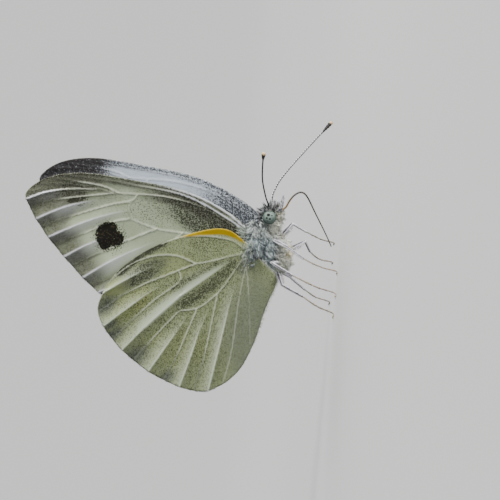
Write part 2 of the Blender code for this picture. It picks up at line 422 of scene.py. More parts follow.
# %% [markdown]
# A wing is a dry double skin, under a tenth of a millimetre thick, stretched between stiff veins. Toward its
# margin it is pleated: between two veins the skin stands up in a sharp fold. It could be sculpted or
# displaced by an image, but veins and folds are lines, and lines are easily written down. So each wing is
# laid out flat first, as an outline with its veins and folds drawn as smooth lines through a few points.

# %% Smooth lines and distances to them
def smooth_line(points, steps, closed=False):
    """Points of a Catmull-Rom curve through the given ones, with so many steps between two of them."""
    points = np.asarray(points, float)
    ends = (points[-1:], points[:2]) if closed else (points[:1], points[-1:])
    around = np.concatenate([ends[0], points, ends[1]])
    t = np.arange(steps)[:, None] / steps
    spans = []
    for a, b, c, d in zip(around, around[1:], around[2:], around[3:]):
        bend = (2 * a - 5 * b + 4 * c - d) * t ** 2 + (3 * b - 3 * c + d - a) * t ** 3
        spans.append(0.5 * (2 * b + (c - a) * t + bend))
    return np.concatenate(spans if closed else [*spans, points[-1:]])


def closed_line(loop):
    return np.vstack([loop, loop[:1]])


def reaches(line):
    """How far along a line each of its points lies."""
    return np.concatenate([[0], np.cumsum(np.linalg.norm(np.diff(line, axis=0), axis=1))])


def spaced(line, gap, closed=False):
    """The same line with its points evenly apart."""
    if closed:
        line = closed_line(line)
    reach = reaches(line)
    at = np.linspace(0, reach[-1], max(2, round(reach[-1] / gap) + 1))
    if closed:
        at = at[:-1]
    return np.stack([np.interp(at, reach, line[:, k]) for k in range(line.shape[1])], 1)


def nearest(points, line):
    """Distance from each point to a line, how far along it the nearest place is, and on which side."""
    start, span = line[:-1], np.diff(line, axis=0)
    length = np.linalg.norm(span, axis=1)
    away = points[:, None, :] - start[None]
    share = np.clip((away * span).sum(2) / length ** 2, 0, 1)
    gap = away - share[..., None] * span
    distance = np.sqrt((gap ** 2).sum(2))
    best = distance.argmin(1)
    row = np.arange(len(points))
    reach = np.concatenate([[0], np.cumsum(length)])
    along = (reach[best] + share[row, best] * length[best]) / reach[-1]
    side = np.sign(span[best, 0] * away[row, best, 1] - span[best, 1] * away[row, best, 0])
    return distance[row, best], along, side


def inside(points, loop):
    """Whether each point lies inside a closed loop."""
    odd = np.zeros(len(points), bool)
    x, z = points.T
    for (ax, az), (bx, bz) in zip(loop, np.roll(loop, -1, axis=0)):
        crosses = (az > z) != (bz > z)
        odd ^= crosses & (x < (bx - ax) * (z - az) / (bz - az if bz != az else 1.0) + ax)
    return odd


def ease(values, low=0.0, high=1.0):
    """0 at low and below, 1 at high and above, and smooth in between."""
    t = np.clip((np.asarray(values, float) - low) / (high - low), 0, 1)
    return t * t * (3 - 2 * t)


def bell(gap, width):
    """1 on a line, falling off smoothly on both sides of it."""
    return np.exp(-(gap / width) ** 2)


# %% [markdown]
# These are the two kinds of wing, in millimetres forward and up while the wing is held upright. The outlines
# are those of the solids. Every vein runs from the root outwards. The long cell in the middle of the wing
# sends out branches, and one sharp fold lies between each two of them.

# %% The plan of the forewing
FOREWING_OUTLINE = [
    (2.8, 10.0), (5.0, 13.1), (6.7, 17.2), (7.6, 22.5), (8.2, 28.0), (7.6, 31.8), (5.9, 34.2),
    (4.2, 33.9), (0.8, 31.7), (-3.6, 27.7), (-5.6, 25.1), (-5.0, 22.7), (-2.9, 18.0),
    (-0.5, 12.8), (0.9, 10.1),
]
FOREWING_VEINS = {
    "costa": [(2.75, 10.3), (4.85, 13.2), (6.5, 17.25), (7.4, 22.5), (8.0, 28.0), (7.45, 31.7), (6.3, 33.6)],
    "subcosta": [(2.2, 10.0), (4.2, 13.1), (6.2, 17.5), (7.1, 23.4), (7.65, 28.5), (7.8, 30.3)],
    "radius": [(2.2, 10.4), (4.7, 14.8), (5.9, 19.4), (6.0, 24.5), (6.4, 26.7), (6.8, 29.6), (6.6, 33.3)],
    "radius_branch": [(6.0, 24.2), (6.8, 26.2), (7.25, 30.0), (7.45, 31.6)],
    "radius_end": [(6.4, 26.7), (6.2, 30.4), (5.5, 33.2), (4.9, 34.1)],
    "median_1": [(6.0, 24.9), (5.6, 27.7), (5.0, 31.0), (4.0, 33.7)],
    "median_2": [(5.9, 22.3), (5.2, 22.9), (4.8, 24.8), (3.5, 28.6), (1.8, 32.5)],
    "median_3": [(3.2, 22.8), (2.8, 24.7), (1.4, 27.8), (-0.2, 31.0)],
    "cell_end": [(5.2, 22.9), (4.2, 23.1), (3.2, 22.8)],
    "cubitus": [(1.4, 10.3), (1.7, 14.6), (2.0, 18.4), (2.3, 20.2), (3.2, 22.8)],
    "cubitus_1": [(2.2, 20.0), (0.5, 23.6), (-1.3, 26.9), (-2.5, 29.0)],
    "cubitus_2": [(1.9, 17.0), (-1.0, 20.4), (-3.6, 24.7), (-4.7, 26.7)],
    "anal": [(1.0, 10.1), (-1.3, 15.0), (-3.9, 20.3), (-5.5, 25.5)],
}
FOREWING_FOLDS = [
    [(6.3, 29.6), (5.8, 32.2), (4.9, 34.3)],
    [(5.3, 25.8), (4.6, 29.0), (3.8, 31.1), (2.8, 33.1)],
    [(4.1, 21.6), (4.1, 23.4), (3.2, 26.5), (2.0, 29.3), (0.7, 31.9)],
    [(1.7, 22.6), (1.2, 24.7), (0.2, 27.3), (-1.4, 30.0)],
    [(1.2, 19.0), (0.3, 21.1), (-1.7, 24.9), (-3.8, 28.0)],
    [(0.1, 16.4), (-2.2, 20.6), (-4.2, 23.9), (-5.3, 26.2)],
]

# %% The plan of the hindwing
HINDWING_OUTLINE = [
    (1.4, 10.2), (2.7, 12.3), (2.4, 15.1), (0.6, 19.8), (-2.0, 23.4), (-4.6, 25.2), (-7.3, 25.8),
    (-10.4, 24.0), (-13.2, 20.9), (-15.2, 17.3), (-16.0, 13.5), (-14.0, 10.2), (-10.4, 8.4),
    (-6.2, 7.35), (-3.5, 6.4), (-2.4, 6.45), (-1.4, 7.4), (0.0, 8.95),
]
HINDWING_VEINS = {
    "subcosta": [(0.5, 10.3), (1.3, 11.4), (1.7, 13.3), (1.75, 15.3), (1.5, 17.3), (0.6, 19.5)],
    "radius": [(0.0, 10.0), (-0.3, 11.4), (-1.0, 13.7), (-1.4, 15.4)],
    "radius_end": [(-1.4, 15.4), (-0.6, 17.5), (-0.7, 20.0), (-1.7, 22.4), (-3.4, 24.3), (-4.7, 25.3)],
    "median_1": [(-1.4, 15.4), (-2.8, 18.5), (-3.9, 20.9), (-5.3, 23.2), (-7.4, 25.9)],
    "median_2": [(-2.3, 17.2), (-3.5, 17.1), (-5.7, 19.7), (-8.0, 21.9), (-10.5, 24.1)],
    "cell_end": [(-3.5, 17.1), (-4.6, 16.7), (-6.8, 16.9)],
    "cubitus": [(-0.2, 10.1), (-1.8, 11.0), (-4.0, 12.3), (-5.5, 13.7), (-6.4, 14.9), (-6.8, 16.9)],
    "median_3": [(-6.8, 16.9), (-9.2, 18.9), (-12.8, 21.7)],
    "cubitus_1": [(-6.4, 14.9), (-9.0, 15.8), (-12.2, 16.9), (-15.0, 18.2)],
    "cubitus_2": [(-4.7, 12.8), (-7.7, 13.2), (-12.0, 13.8), (-15.9, 14.7)],
    "anal_2": [(-1.3, 9.9), (-5.3, 10.4), (-11.1, 10.8), (-14.9, 11.5)],
    "anal_3": [(-1.3, 9.9), (-5.2, 9.3), (-10.3, 8.8)],
}
HINDWING_FOLDS = [
    [(-1.5, 19.2), (-2.7, 21.7), (-4.0, 23.8), (-5.4, 25.8)],
    [(-3.5, 18.2), (-5.0, 20.5), (-7.0, 23.0), (-9.0, 25.3)],
    [(-0.6, 11.2), (-2.9, 14.2), (-5.4, 17.2), (-8.6, 20.4), (-11.8, 23.2)],
    [(-6.6, 15.6), (-8.4, 16.6), (-11.2, 18.3), (-14.2, 20.1)],
    [(-5.6, 13.3), (-8.8, 14.5), (-11.9, 15.3), (-15.7, 16.4)],
    [(-1.6, 10.4), (-5.1, 11.3), (-9.9, 12.1), (-15.8, 13.1)],
]

# %% [markdown]
# The sheet is filled with small triangles whose edges follow the rim, the veins and the folds, so that every
# ridge is a true ridge in the mesh and never a staircase. Blender's constrained Delaunay function does
# that: it gets the lines and a loose hexagonal net of points, and joins them all.

# %% Filling an outline with triangles that follow its lines
SHEET_GAP = 0.135         # distance between the points of a wing's sheet
HEM_INSET = 0.1           # the sheet ends inside the solid's outline, and the fringe fills the rest


def rim_of(outline):
    """The sheet's rim, evenly spaced, a little inside the outline."""
    line = spaced(smooth_line(outline, 8, closed=True), SHEET_GAP, closed=True)
    ahead = np.roll(line, -1, axis=0) - np.roll(line, 1, axis=0)
    inward = np.stack([ahead[:, 1], -ahead[:, 0]], 1) / np.linalg.norm(ahead, axis=1)[:, None]
    if not inside((line + inward * HEM_INSET)[:1], line)[0]:
        inward = -inward
    return line + inward * HEM_INSET


def fill_sheet(rim, lines):
    """Flat points and triangles inside the rim, with an edge along every line."""
    low, high = rim.min(0), rim.max(0)
    rows = np.arange(low[1], high[1], SHEET_GAP * 0.866)
    columns = np.arange(low[0], high[0], SHEET_GAP)
    net = np.array([(x + (k % 2) * SHEET_GAP / 2, z) for k, z in enumerate(rows) for x in columns])
    net = net[inside(net, rim)]
    points = [rim]
    edges = [(i, (i + 1) % len(rim)) for i in range(len(rim))]
    count = len(rim)
    net = net[nearest(net, closed_line(rim))[0] > SHEET_GAP * 0.6]
    for line in lines:
        line = spaced(line, SHEET_GAP * 0.9)
        line = line[inside(line, rim)]
        line = line[nearest(line, closed_line(rim))[0] > SHEET_GAP * 0.3]
        net = net[nearest(net, line)[0] > SHEET_GAP * 0.55]
        edges += [(count + i, count + i + 1) for i in range(len(line) - 1)]
        count += len(line)
        points.append(line)
    points = np.concatenate([*points, net])
    joined = delaunay_2d_cdt([Vector(p) for p in points], edges, [], 1, 1e-5)
    return np.array([tuple(v) for v in joined[0]]), np.array(joined[2], np.int32)


FAR = 99.0                # farther than any line of a wing


class Plan:
    """A wing laid out flat: its sheet and how its veins and folds lie."""

    def __init__(self, outline, veins, folds):
        self.rim = rim_of(outline)
        self.root = np.array(outline[0])
        self.veins = {name: smooth_line(points, 6) for name, points in veins.items()}
        self.folds = [smooth_line(points, 6) for points in folds]
        self.points, self.faces = fill_sheet(self.rim, [*self.veins.values(), *self.folds])

    def measure(self, points):
        """Nearness to veins, folds and the rim of each flat point."""
        vein_gap = np.full(len(points), FAR)
        fold_gap = np.full(len(points), FAR)
        vein_along, fold_along, fold_side = np.zeros((3, len(points)))
        for line in self.veins.values():
            gap, along, _ = nearest(points, line)
            closer = gap < vein_gap
            vein_gap[closer] = gap[closer]
            vein_along[closer] = along[closer]
        for line in self.folds:
            gap, along, side = nearest(points, line)
            closer = gap < fold_gap
            fold_gap[closer] = gap[closer]
            fold_along[closer] = along[closer]
            fold_side[closer] = side[closer]
        rim_gap = nearest(points, closed_line(self.rim))[0]
        return vein_gap, vein_along, fold_gap, fold_along, fold_side, rim_gap


forewing_plan = Plan(FOREWING_OUTLINE, FOREWING_VEINS, FOREWING_FOLDS)
hindwing_plan = Plan(HINDWING_OUTLINE, HINDWING_VEINS, HINDWING_FOLDS)
print("wing sheets:", len(forewing_plan.faces), "and", len(hindwing_plan.faces), "triangles a side")

# %% [markdown]
# Held closed, each wing leans outwards a little and the hindwing lies outside the forewing. The next step
# takes a flat point to its place in the air, just as the solids do, and adds how far the sheet stands out
# there: the pleats grow from nothing to a quarter of a millimetre at the margin, and the veins are thin
# ribs that are stoutest at the root.

# %% From the flat plan to the closed wing
HINGE_SIDE = 1.05         # forewing plate's middle, sideways from the body's middle
HINGE_UP = 9.5            # height at which the wings start to open
OPENING = math.tan(math.radians(6.5))
HINDWING_OUT = 0.8        # the hindwing plate's middle stands this far outside the forewing's
HEM_UP = 9.0              # height below which the hindwing's hem curls in
HEM_TUCK = 0.05           # and how fast it does
PLEAT = 0.27              # height of a fold at the margin
RIB = 0.065               # height of a vein at the root
RIB_WIDTH = 0.07          # and its half width
SKIN_HALF = 0.035         # half the sheet's thickness
FOREWING_LIFT = -0.02     # how far outside its plate's middle a sheet's valleys lie
HINDWING_LIFT = -0.3
LEFT_PUSH = np.array([1.2, -1.1])     # how far the left forewing is moved forward and up,
LEFT_TURN = 2.6           # and by how many degrees it is turned, so that its front edge shows


class Held:
    """One of the four wings in its place."""

    def __init__(self, plan, side, outer, push=(0.0, 0.0), turn=0.0):
        self.plan = plan
        self.side = side
        self.outer = outer
        self.slot = "hindwing" if outer else "forewing"
        self.push = np.array(push)
        self.turn = math.radians(-turn)

    def at(self, flat, out):
        """Places of flat points that stand so far outside the plate's middle."""
        x, z = (flat - self.plan.root).T
        c, s = math.cos(self.turn), math.sin(self.turn)
        x, z = np.stack([x * c + z * s, z * c - x * s]) + (self.plan.root + self.push)[:, None]
        rise = z - HINGE_UP
        away = HINGE_SIDE + OPENING * (rise + np.sqrt(rise * rise + 1)) / 2 + out
        if self.outer:
            away += HINDWING_OUT + HINDWING_LIFT - HEM_TUCK * np.maximum(0, HEM_UP - z) ** 2
        else:
            away += FOREWING_LIFT
        return np.stack([x, self.side * away, z], 1)


def sheet_relief(measured):
    """How far the sheet's middle and its ribs stand out."""
    vein_gap, vein_along, fold_gap, fold_along, _, rim_gap = measured
    share = vein_gap / (vein_gap + fold_gap + 1e-6)
    pleat = PLEAT * ease(fold_along, 0.0, 0.95) * (0.5 * share + 0.5 * share ** 2)
    rib = RIB * (1 - 0.45 * vein_along) * bell(vein_gap, RIB_WIDTH)
    return pleat, rib * ease(rim_gap, 0.0, 0.2)


WINGS = {
    "forewing_right": Held(forewing_plan, -1, False),
    "forewing_left": Held(forewing_plan, 1, False, LEFT_PUSH, LEFT_TURN),
    "hindwing_right": Held(hindwing_plan, -1, True),
    "hindwing_left": Held(hindwing_plan, 1, True),
}
for plan in (forewing_plan, hindwing_plan):
    plan.measured = plan.measure(plan.points)
    plan.pleat, plan.rib = sheet_relief(plan.measured)
print("pleats stand out up to", round(float(forewing_plan.pleat.max()), 3), "mm")

# %% [markdown]
# The markings belong to the wing's own plan, so they are worked out there too: as ovals, bands beside a line
# and zones along the rim, all in millimetres. The underside, which shows while the wings are closed, is
# greenish white with an olive tip, dusted with dark scales toward the root, and has one ragged black-brown
# spot. The hindwing's underside is yellower, dusted all over, with a yellow edge at the shoulder. The
# upperside is clean white with a grey root and a dark tip.

# %% Markings as shapes on the plan
def oval(points, middle, radii, turn=0.0, soft=0.4):
    """1 in the middle of an oval, and 0 outside its soft edge."""
    c, s = math.cos(math.radians(turn)), math.sin(math.radians(turn))
    x, z = (points - middle).T
    reach = np.hypot((x * c + z * s) / radii[0], (z * c - x * s) / radii[1])
    return 1 - ease(reach, 1 - soft, 1 + soft)


def most(*shapes):
    return np.max(shapes, axis=0)


def beside(points, line, width):
    """1 on a line, fading to 0 at a width."""
    gap = nearest(points, smooth_line(line, 4))[0]
    return 1 - ease(gap, 0.15 * width, width)


def ovals(points, rows):
    """The strongest of several ovals: each row is a strength, a middle, its radii, its turn and softness."""
    return most(*(strength * oval(points, *shape) for strength, *shape in rows))


def smudges(points, places, half, turn):
    """Soft slanted smudges, each a middle and a size; half is the half width and length of one of size 1."""
    width, length = half
    return most(*(oval(points, middle, (width * size, length * size), turn, 0.7) for middle, size in places))


# %% [markdown]
# Each kind of marking is a number from 0 to 1 at every point of the sheet: dust is how thickly dark scales
# lie, smudge and olive darken the ground below them, bare and faint change how the veins show. The smudge
# is the wing's own grey, except on the hindwing's inner hem, where it is painted shade. The lines and
# places that the underside of the forewing needs are written down first, by name.

# %% The underside of the forewing
FORE_CELL = [(2.0, 13.4), (2.7, 15.2), (3.6, 16.7), (4.6, 18.2), (5.1, 20.2)]
FORE_FRONT = [(2.0, 11.0), (3.7, 13.9), (5.3, 16.7), (6.0, 19.6), (6.4, 22.5)]
FORE_EDGE = [(4.4, 12.6), (6.2, 16.8), (7.1, 22.0), (7.5, 26.5)]
FORE_BELOW = [(1.6, 11.0), (1.2, 14.0), (0.6, 17.5)]
FORE_DUST = [
    (0.3, (4.3, 20.2), (2.0, 3.6), -8, 0.8),
    (0.34, (3.0, 13.0), (1.6, 2.0)),
    (0.4, (6.3, 29.0), (0.9, 2.6), 12),
    (0.5, (4.6, 28.2), (0.2, 0.6), 14),
]
FORE_SPOT = [
    (1.0, (1.35, 25.35), (1.3, 1.1), 0, 0.34),
    (1.0, (0.95, 24.35), (0.85, 0.9), 0, 0.3),
    (1.0, (0.35, 25.4), (0.7, 0.65), 0, 0.3),
    (1.0, (1.9, 24.85), (0.85, 0.6), 0, 0.3),
    (0.28, (1.1, 25.0), (1.9, 1.9), 0, 0.4),
]
FORE_SMUDGES = [
    ((3.4, 29.8), 0.9), ((2.7, 29.9), 0.7), ((0.9, 29.3), 1.0), ((-1.4, 28.2), 0.8),
    ((-2.8, 27.7), 0.6), ((-4.3, 26.1), 0.55), ((6.1, 28.9), 1.9), ((5.0, 30.4), 0.9),
]


def forewing_under(points, rim_gap):
    x, z = points.T
    cell = beside(points, FORE_CELL, 2.0) * (1 - 0.75 * ease(z, 16.8, 20.8))
    upper = 1 - ease(nearest(points, smooth_line(FORE_FRONT, 4))[0], 0.5, 1.3)
    upper = upper * (1 - ease(z, 18.0, 24.0))
    edge = beside(points, FORE_EDGE, 1.0)
    root = oval(points, (1.8, 10.5), (2.6, 1.8))
    front = beside(points, FOREWING_VEINS["costa"], 0.3) * ease(z, 15.5, 19.5)
    tip = 0.5 * oval(points, (5.4, 28.5), (0.65, 1.3), 20) + 0.4 * oval(points, (5.1, 28.8), (0.3, 1.0), 14)
    margin = (1 - ease(rim_gap, 0.4, 3.4)) * ease(z, 23.0, 27.0)
    dust = most(0.6 * cell, 0.48 * upper, 0.14 * edge, 0.28 * beside(points, FORE_BELOW, 1.3), 0.5 * root)
    dust = most(dust, ovals(points, FORE_DUST), tip, 0.22 * margin, 0.5 * front)
    dust = most(dust, 0.04 + 0.14 * ease(x, 3.2, 5.2))
    smudge_and_shade = smudges(points, FORE_SMUDGES, (0.42, 1.0), 30)
    smudge_and_shade = most(0.75 * smudge_and_shade, 0.75 * root, 0.4 * cell, 0.72 * upper)
    olive = most(0.85 * edge, 0.9 * upper, 0.35 * cell, 0.5 * root)
    olive = most(olive, oval(points, (6.6, 31.5), (3.7, 5.2), 20, 0.5))
    olive = most(olive, 0.95 * (1 - ease(rim_gap, 1.2, 3.8)) * ease(z, 23, 27))
    bare = beside(points, FOREWING_VEINS["subcosta"], 0.11)
    bare = most(bare, beside(points, FOREWING_VEINS["costa"], 0.13)) * (1 - ease(z, 16.0, 21.0))
    faint = 0.85 * beside(points, FOREWING_VEINS["radius"], 0.3) * (1 - ease(z, 15.5, 19.0))
    faint = most(faint, 0.85 * front, 0.7 * beside(points, FOREWING_VEINS["cell_end"], 0.35))
    return {"dust": dust, "spot": ovals(points, FORE_SPOT), "smudge_and_shade": smudge_and_shade, "olive": olive, "bare": bare,
            "faint": faint}


# %% The underside of the hindwing
HIND_LOWER_CELL = [(-1.4, 11.4), (-3.2, 13.0), (-4.9, 14.9), (-6.2, 16.6)]
HIND_UPPER_CELL = [(-1.2, 12.6), (-2.8, 15.4), (-4.3, 17.6)]
HIND_SHOULDER = [(0.9, 19.2), (-0.6, 21.6), (-2.6, 23.6)]
HIND_STREAK = [(-0.6, 11.2), (-2.9, 14.2), (-5.4, 17.2), (-8.6, 20.4)]
HIND_YELLOW = [(1.1, 10.2), (1.3, 10.8), (1.65, 11.5), (1.95, 13.2), (1.5, 17.0)]
HIND_DUST = [
    (0.42, (0.9, 14.2), (1.4, 2.6)),
    (0.45, (-8.5, 17.6), (1.0, 2.4), -30),
]
HIND_BRIGHT = [
    (1.0, (-4.3, 23.9), (0.8, 1.5), 30),
    (0.4, (-1.6, 17.9), (1.2, 2.4)),
]
HIND_SMUDGES = [
    ((-6.6, 24.9), 1.1), ((-9.7, 23.8), 0.9), ((-12.3, 21.4), 1.5), ((-14.5, 17.8), 0.9),
    ((-8.6, 24.2), 0.6),
]


def hindwing_streak(points):
    """The pale flank of the longest fold: broad above it and cut off sharply below."""
    gap, along, side = nearest(points, smooth_line(HIND_STREAK, 4))
    reach = (0.42 + 0.85 * along) * np.where(side < 0, 1.0, 0.3)
    return (1 - ease(gap / reach, 0.1, 1.0)) * ease(along, 0.0, 0.3) * (1 - 0.4 * ease(along, 0.7, 1.0))


def hindwing_yellow(points):
    """The yellow shoulder, in front of a line."""
    gap, _, side = nearest(points, smooth_line(HIND_YELLOW, 4))
    z = points[:, 1]
    return ease(gap * -side, -0.02, 0.1) * ease(z, 9.9, 10.5) * (1 - ease(z, 16.2, 17.8))


def hindwing_under(points, rim_gap):
    x, z = points.T
    lower_cell = beside(points, HIND_LOWER_CELL, 1.5)
    above_cell = beside(points, HIND_UPPER_CELL, 0.8)
    shoulder = beside(points, HIND_SHOULDER, 1.0)
    bar = oval(points, (-2.6, 20.9), (1.05, 2.9), 36)
    bright = ovals(points, HIND_BRIGHT)
    hem = oval(points, (-9.0, 8.9), (6.6, 2.4), soft=0.5)
    streak = hindwing_streak(points)
    dust = most(0.58 * lower_cell, 0.5 * above_cell, 0.84 * shoulder, 0.54 * bar, ovals(points, HIND_DUST))
    dust = most(dust, 0.3 + 0.08 * ease(rim_gap, 1.0, 4.0))
    dust = dust * (1 - 0.7 * bright) * (1 - 0.6 * hem) * (1 - streak)
    smudge_and_shade = smudges(points, HIND_SMUDGES, (0.7, 1.2), 42)
    # 0.62 * hem darkens the inner hem beside the abdomen: painted shade, as of the abdomen's shadow through
    # the wing; the rest is the wing's own grey.
    smudge_and_shade = most(smudge_and_shade, 0.88 * shoulder, 0.38 * lower_cell, 0.66 * bar, 0.62 * hem, 0.35 * above_cell,
                  0.75 * oval(points, (-1.5, 10.1), (1.1, 0.9)))
    olive = most(bright, oval(points, (-6.2, 22.2), (1.2, 3.0), 40))
    olive = most(olive, 0.5 * oval(points, (-11.0, 17.0), (2, 4)))
    faint = most(0.45 * (1 - ease(z, 11.5, 13.5)), 0.8 * beside(points, HINDWING_VEINS["cell_end"], 0.35))
    faint = most(faint, 0.8 * (1 - ease(x, -5.0, -3.5)) * (1 - ease(z, 9.4, 10.1)))
    return {"dust": dust, "smudge_and_shade": smudge_and_shade, "olive": (0.35 + 0.65 * olive) * (1 - hem),
            "yellow": hindwing_yellow(points), "bare": streak, "faint": faint}


# %% The uppersides
FORE_UPPER_EDGE = [(3.2, 10.6), (5.0, 13.6), (6.5, 17.2), (7.5, 22.5), (8.1, 28.0)]


def forewing_upper(points, rim_gap):
    x, z = points.T
    tip = ease(z + 0.35 * (x - 6.0), 25.4, 28.6) * ease(x, -1.5, 2.5)
    margin = 0.8 * (1 - ease(rim_gap, 0.3, 1.3)) * ease(z, 27.0, 29.5)
    edge = 0.8 * beside(points, FORE_UPPER_EDGE, 0.95)
    root = 0.85 * oval(points, (2.8, 12.0), (3.6, 4.2), soft=0.8)
    dust = most(0.9 * tip, 0.7 * margin, 0.75 * edge, 0.75 * root, np.full(len(x), 0.05))
    return {"dust": dust, "spot": oval(points, (1.1, 25.0), (1.2, 1.5), soft=0.3),
            "smudge_and_shade": most(0.95 * tip, 0.5 * root, 0.35 * edge),
            "faint": 0.75 * most(1 - ease(z, 16.0, 22.0), tip, edge)}


def hindwing_upper(points, rim_gap):
    root = 0.6 * oval(points, (-1.5, 10.5), (4.5, 3.5), soft=0.8)
    mark = 0.8 * oval(points, (0.3, 20.4), (0.6, 1.2), 30)
    return {"dust": most(root, mark, np.full(len(points), 0.01)), "smudge_and_shade": 0.5 * root}


# %% [markdown]
# The wing's scales are a tenth of a millimetre long, in rows like roof tiles. Each is either pale or dark,
# so the material draws one random number for every scale and compares it with the thickness of the dust
# there. That gives the sprinkled look, and the ragged edge of the spot, at the real size. The tiles
# also make a fine bump. Over the shading that the pleats' own relief gets, the flank of a fold that faces
# the lamp is painted paler, as painted light, and its other flank is painted darker, as painted shade. The
# crest of each fold gets a painted highlight, and the outer veins get painted shade in their creases.

# %% Wing scales as a material
SCALES_ACROSS = 13.0      # scales in a millimetre across and along the wing
SCALES_ALONG = 10.0
DUST_LARGE = 5.2          # dark scales in a millimetre, in two sizes
DUST_SMALL = 8.5
BARE_ROUGH = 0.62         # roughness between the dark scales
# Among a wing's tints, one is that of the painted shade on the folds' darker flanks, and fold is that of the
# painted highlight on their crests and lit flanks.
WING_PARTS = ("ground", "clean", "olive", "lee", "bare", "vein", "fold", "dust", "grey")
YELLOWS = (tint(153, 124, 0), tint(174, 147, 0))
SPOT_DARK = tint(4, 2, 0)
SPOT_BROWN = tint(52, 43, 30)


def two_sizes(paint, flat, finer, cover, small_share):
    """Dark scales of two sizes; the small ones cover a share of what the large ones do."""
    large = paint.dots(flat, DUST_LARGE * finer, cover)
    return large.maths("MAXIMUM", large, paint.dots(flat, DUST_SMALL * finer, cover * small_share))


def wing_paint(name, finer, **tints):
    """A scaled surface; finer makes the dust smaller, and the tints are those of its parts."""
    ground, clean, olive, lee, bare, vein, fold, dust, grey = (tint(*tints[part]) for part in WING_PARTS)
    paint = Paint(name, IOR=1.4, Specular_IOR_Level=0.2)
    kept = paint.kept
    flat = paint.kept_place("flat")
    tiles = paint.stretched(flat, SCALES_ACROSS, SCALES_ALONG, 1.0)
    fine = paint.chance(tiles, 1.9)
    cloud = paint.noise(flat, 0.55, 3.0)
    speck = paint.noise(flat, 2.6, 3.0)
    cover = kept("dust") * (speck * 1.5 + 0.3) * (1 - kept("vein") * 0.8) * (1 - kept("fold") * 0.8)
    # Fewer dark scales lie on the flank that is painted lit.
    cover = cover * (1 - kept("bare") * 0.7) * (1 - kept("lit") * 0.5) * (1 - kept("yellow") * 0.85)
    dark = two_sizes(paint, flat, finer, cover, 0.85)
    blot = two_sizes(paint, flat, 1.0, kept("spot") * (speck * 1.5 + 0.75), 0.9)
    grain = paint.chance(flat, DUST_SMALL, flat=True)
    colour = layered(
        mix((cloud * 1.6 - 0.4).clamped(), ground, clean),
        ((kept("olive") * (cloud * 0.7 + 0.65)).clamped(), olive),
        # Painted shade on the flank of each fold that faces away from the lamp.
        ((kept("shade") * (cloud * 0.5 + 0.45)).clamped(), lee),
        # The smudge: the wing's own grey, and painted shade on the hindwing's inner hem.
        ((kept("smudge_and_shade") * (speck * 0.9 + 0.5)).clamped() * 0.9, grey),
        # Painted light on the flank of each fold that faces the lamp.
        (kept("lit") * 0.42, fold),
        (kept("bare"), bare),
        (kept("vein") * 0.9, mix(kept("bare"), vein, bare)),
        # Painted shade in the creases of the outer veins.
        (kept("crease_shade") * 0.75, grey),
        # The painted highlight on the crests of the folds.
        (kept("fold") * 0.9, fold),
        (fine * 0.14, tint(255, 255, 250)),
        (kept("yellow"), mix(cloud, *YELLOWS)),
        (dark * (fine * 0.3 + 0.66), dust),
        (blot * 0.99, mix(grain.between(0.74, 0.92), SPOT_DARK, SPOT_BROWN)),
    )
    edges = paint.grains(tiles, 1.0, output=0)
    height = edges * -0.5 + speck * 0.6
    rough = BARE_ROUGH - kept("fold") * 0.12 + dark * 0.1
    return paint.set(Base_Color=colour, Roughness=rough, Normal=paint.bump(height, 0.3, 0.00004))


# %% Painted light and shade beside the folds
MARKS = ("dust", "spot", "smudge_and_shade", "olive", "yellow", "bare")
# How the painted light and shade lie on the folds: painted light on one flank, painted shade on the other
# and in the creases of the outer veins.
FOREWING_FLANKS = {
    "lit_side": 1,            # the side of each fold that is lit
    "lit_power": 1.0,         # how much the light gathers at the fold
    "lit_rim": 0.75,          # how much of it is lost at the rim
    "lee": 0.72,              # how dark the other flank is
    "lee_rim": 0.88,          # how much paler it grows away from the rim
    "lee_reach": 3.6,         # and within how far
    "valley": 0.0,            # shade in the valley of the lit side
    "crease_shade": 1.0,            # how dark the outer veins are
    "crease_reach": 5.0,
    "smooth_front": 0.0,      # 1 where the veins at the front stay pale
}
HINDWING_FLANKS = {
    "lit_side": -1, "lit_power": 1.7, "lit_rim": 0.15, "lee": 0.5, "lee_rim": 0.58, "lee_reach": 7.6,
    "valley": 0.3, "crease_shade": 0.65, "crease_reach": 6.5, "smooth_front": 1.0,
}


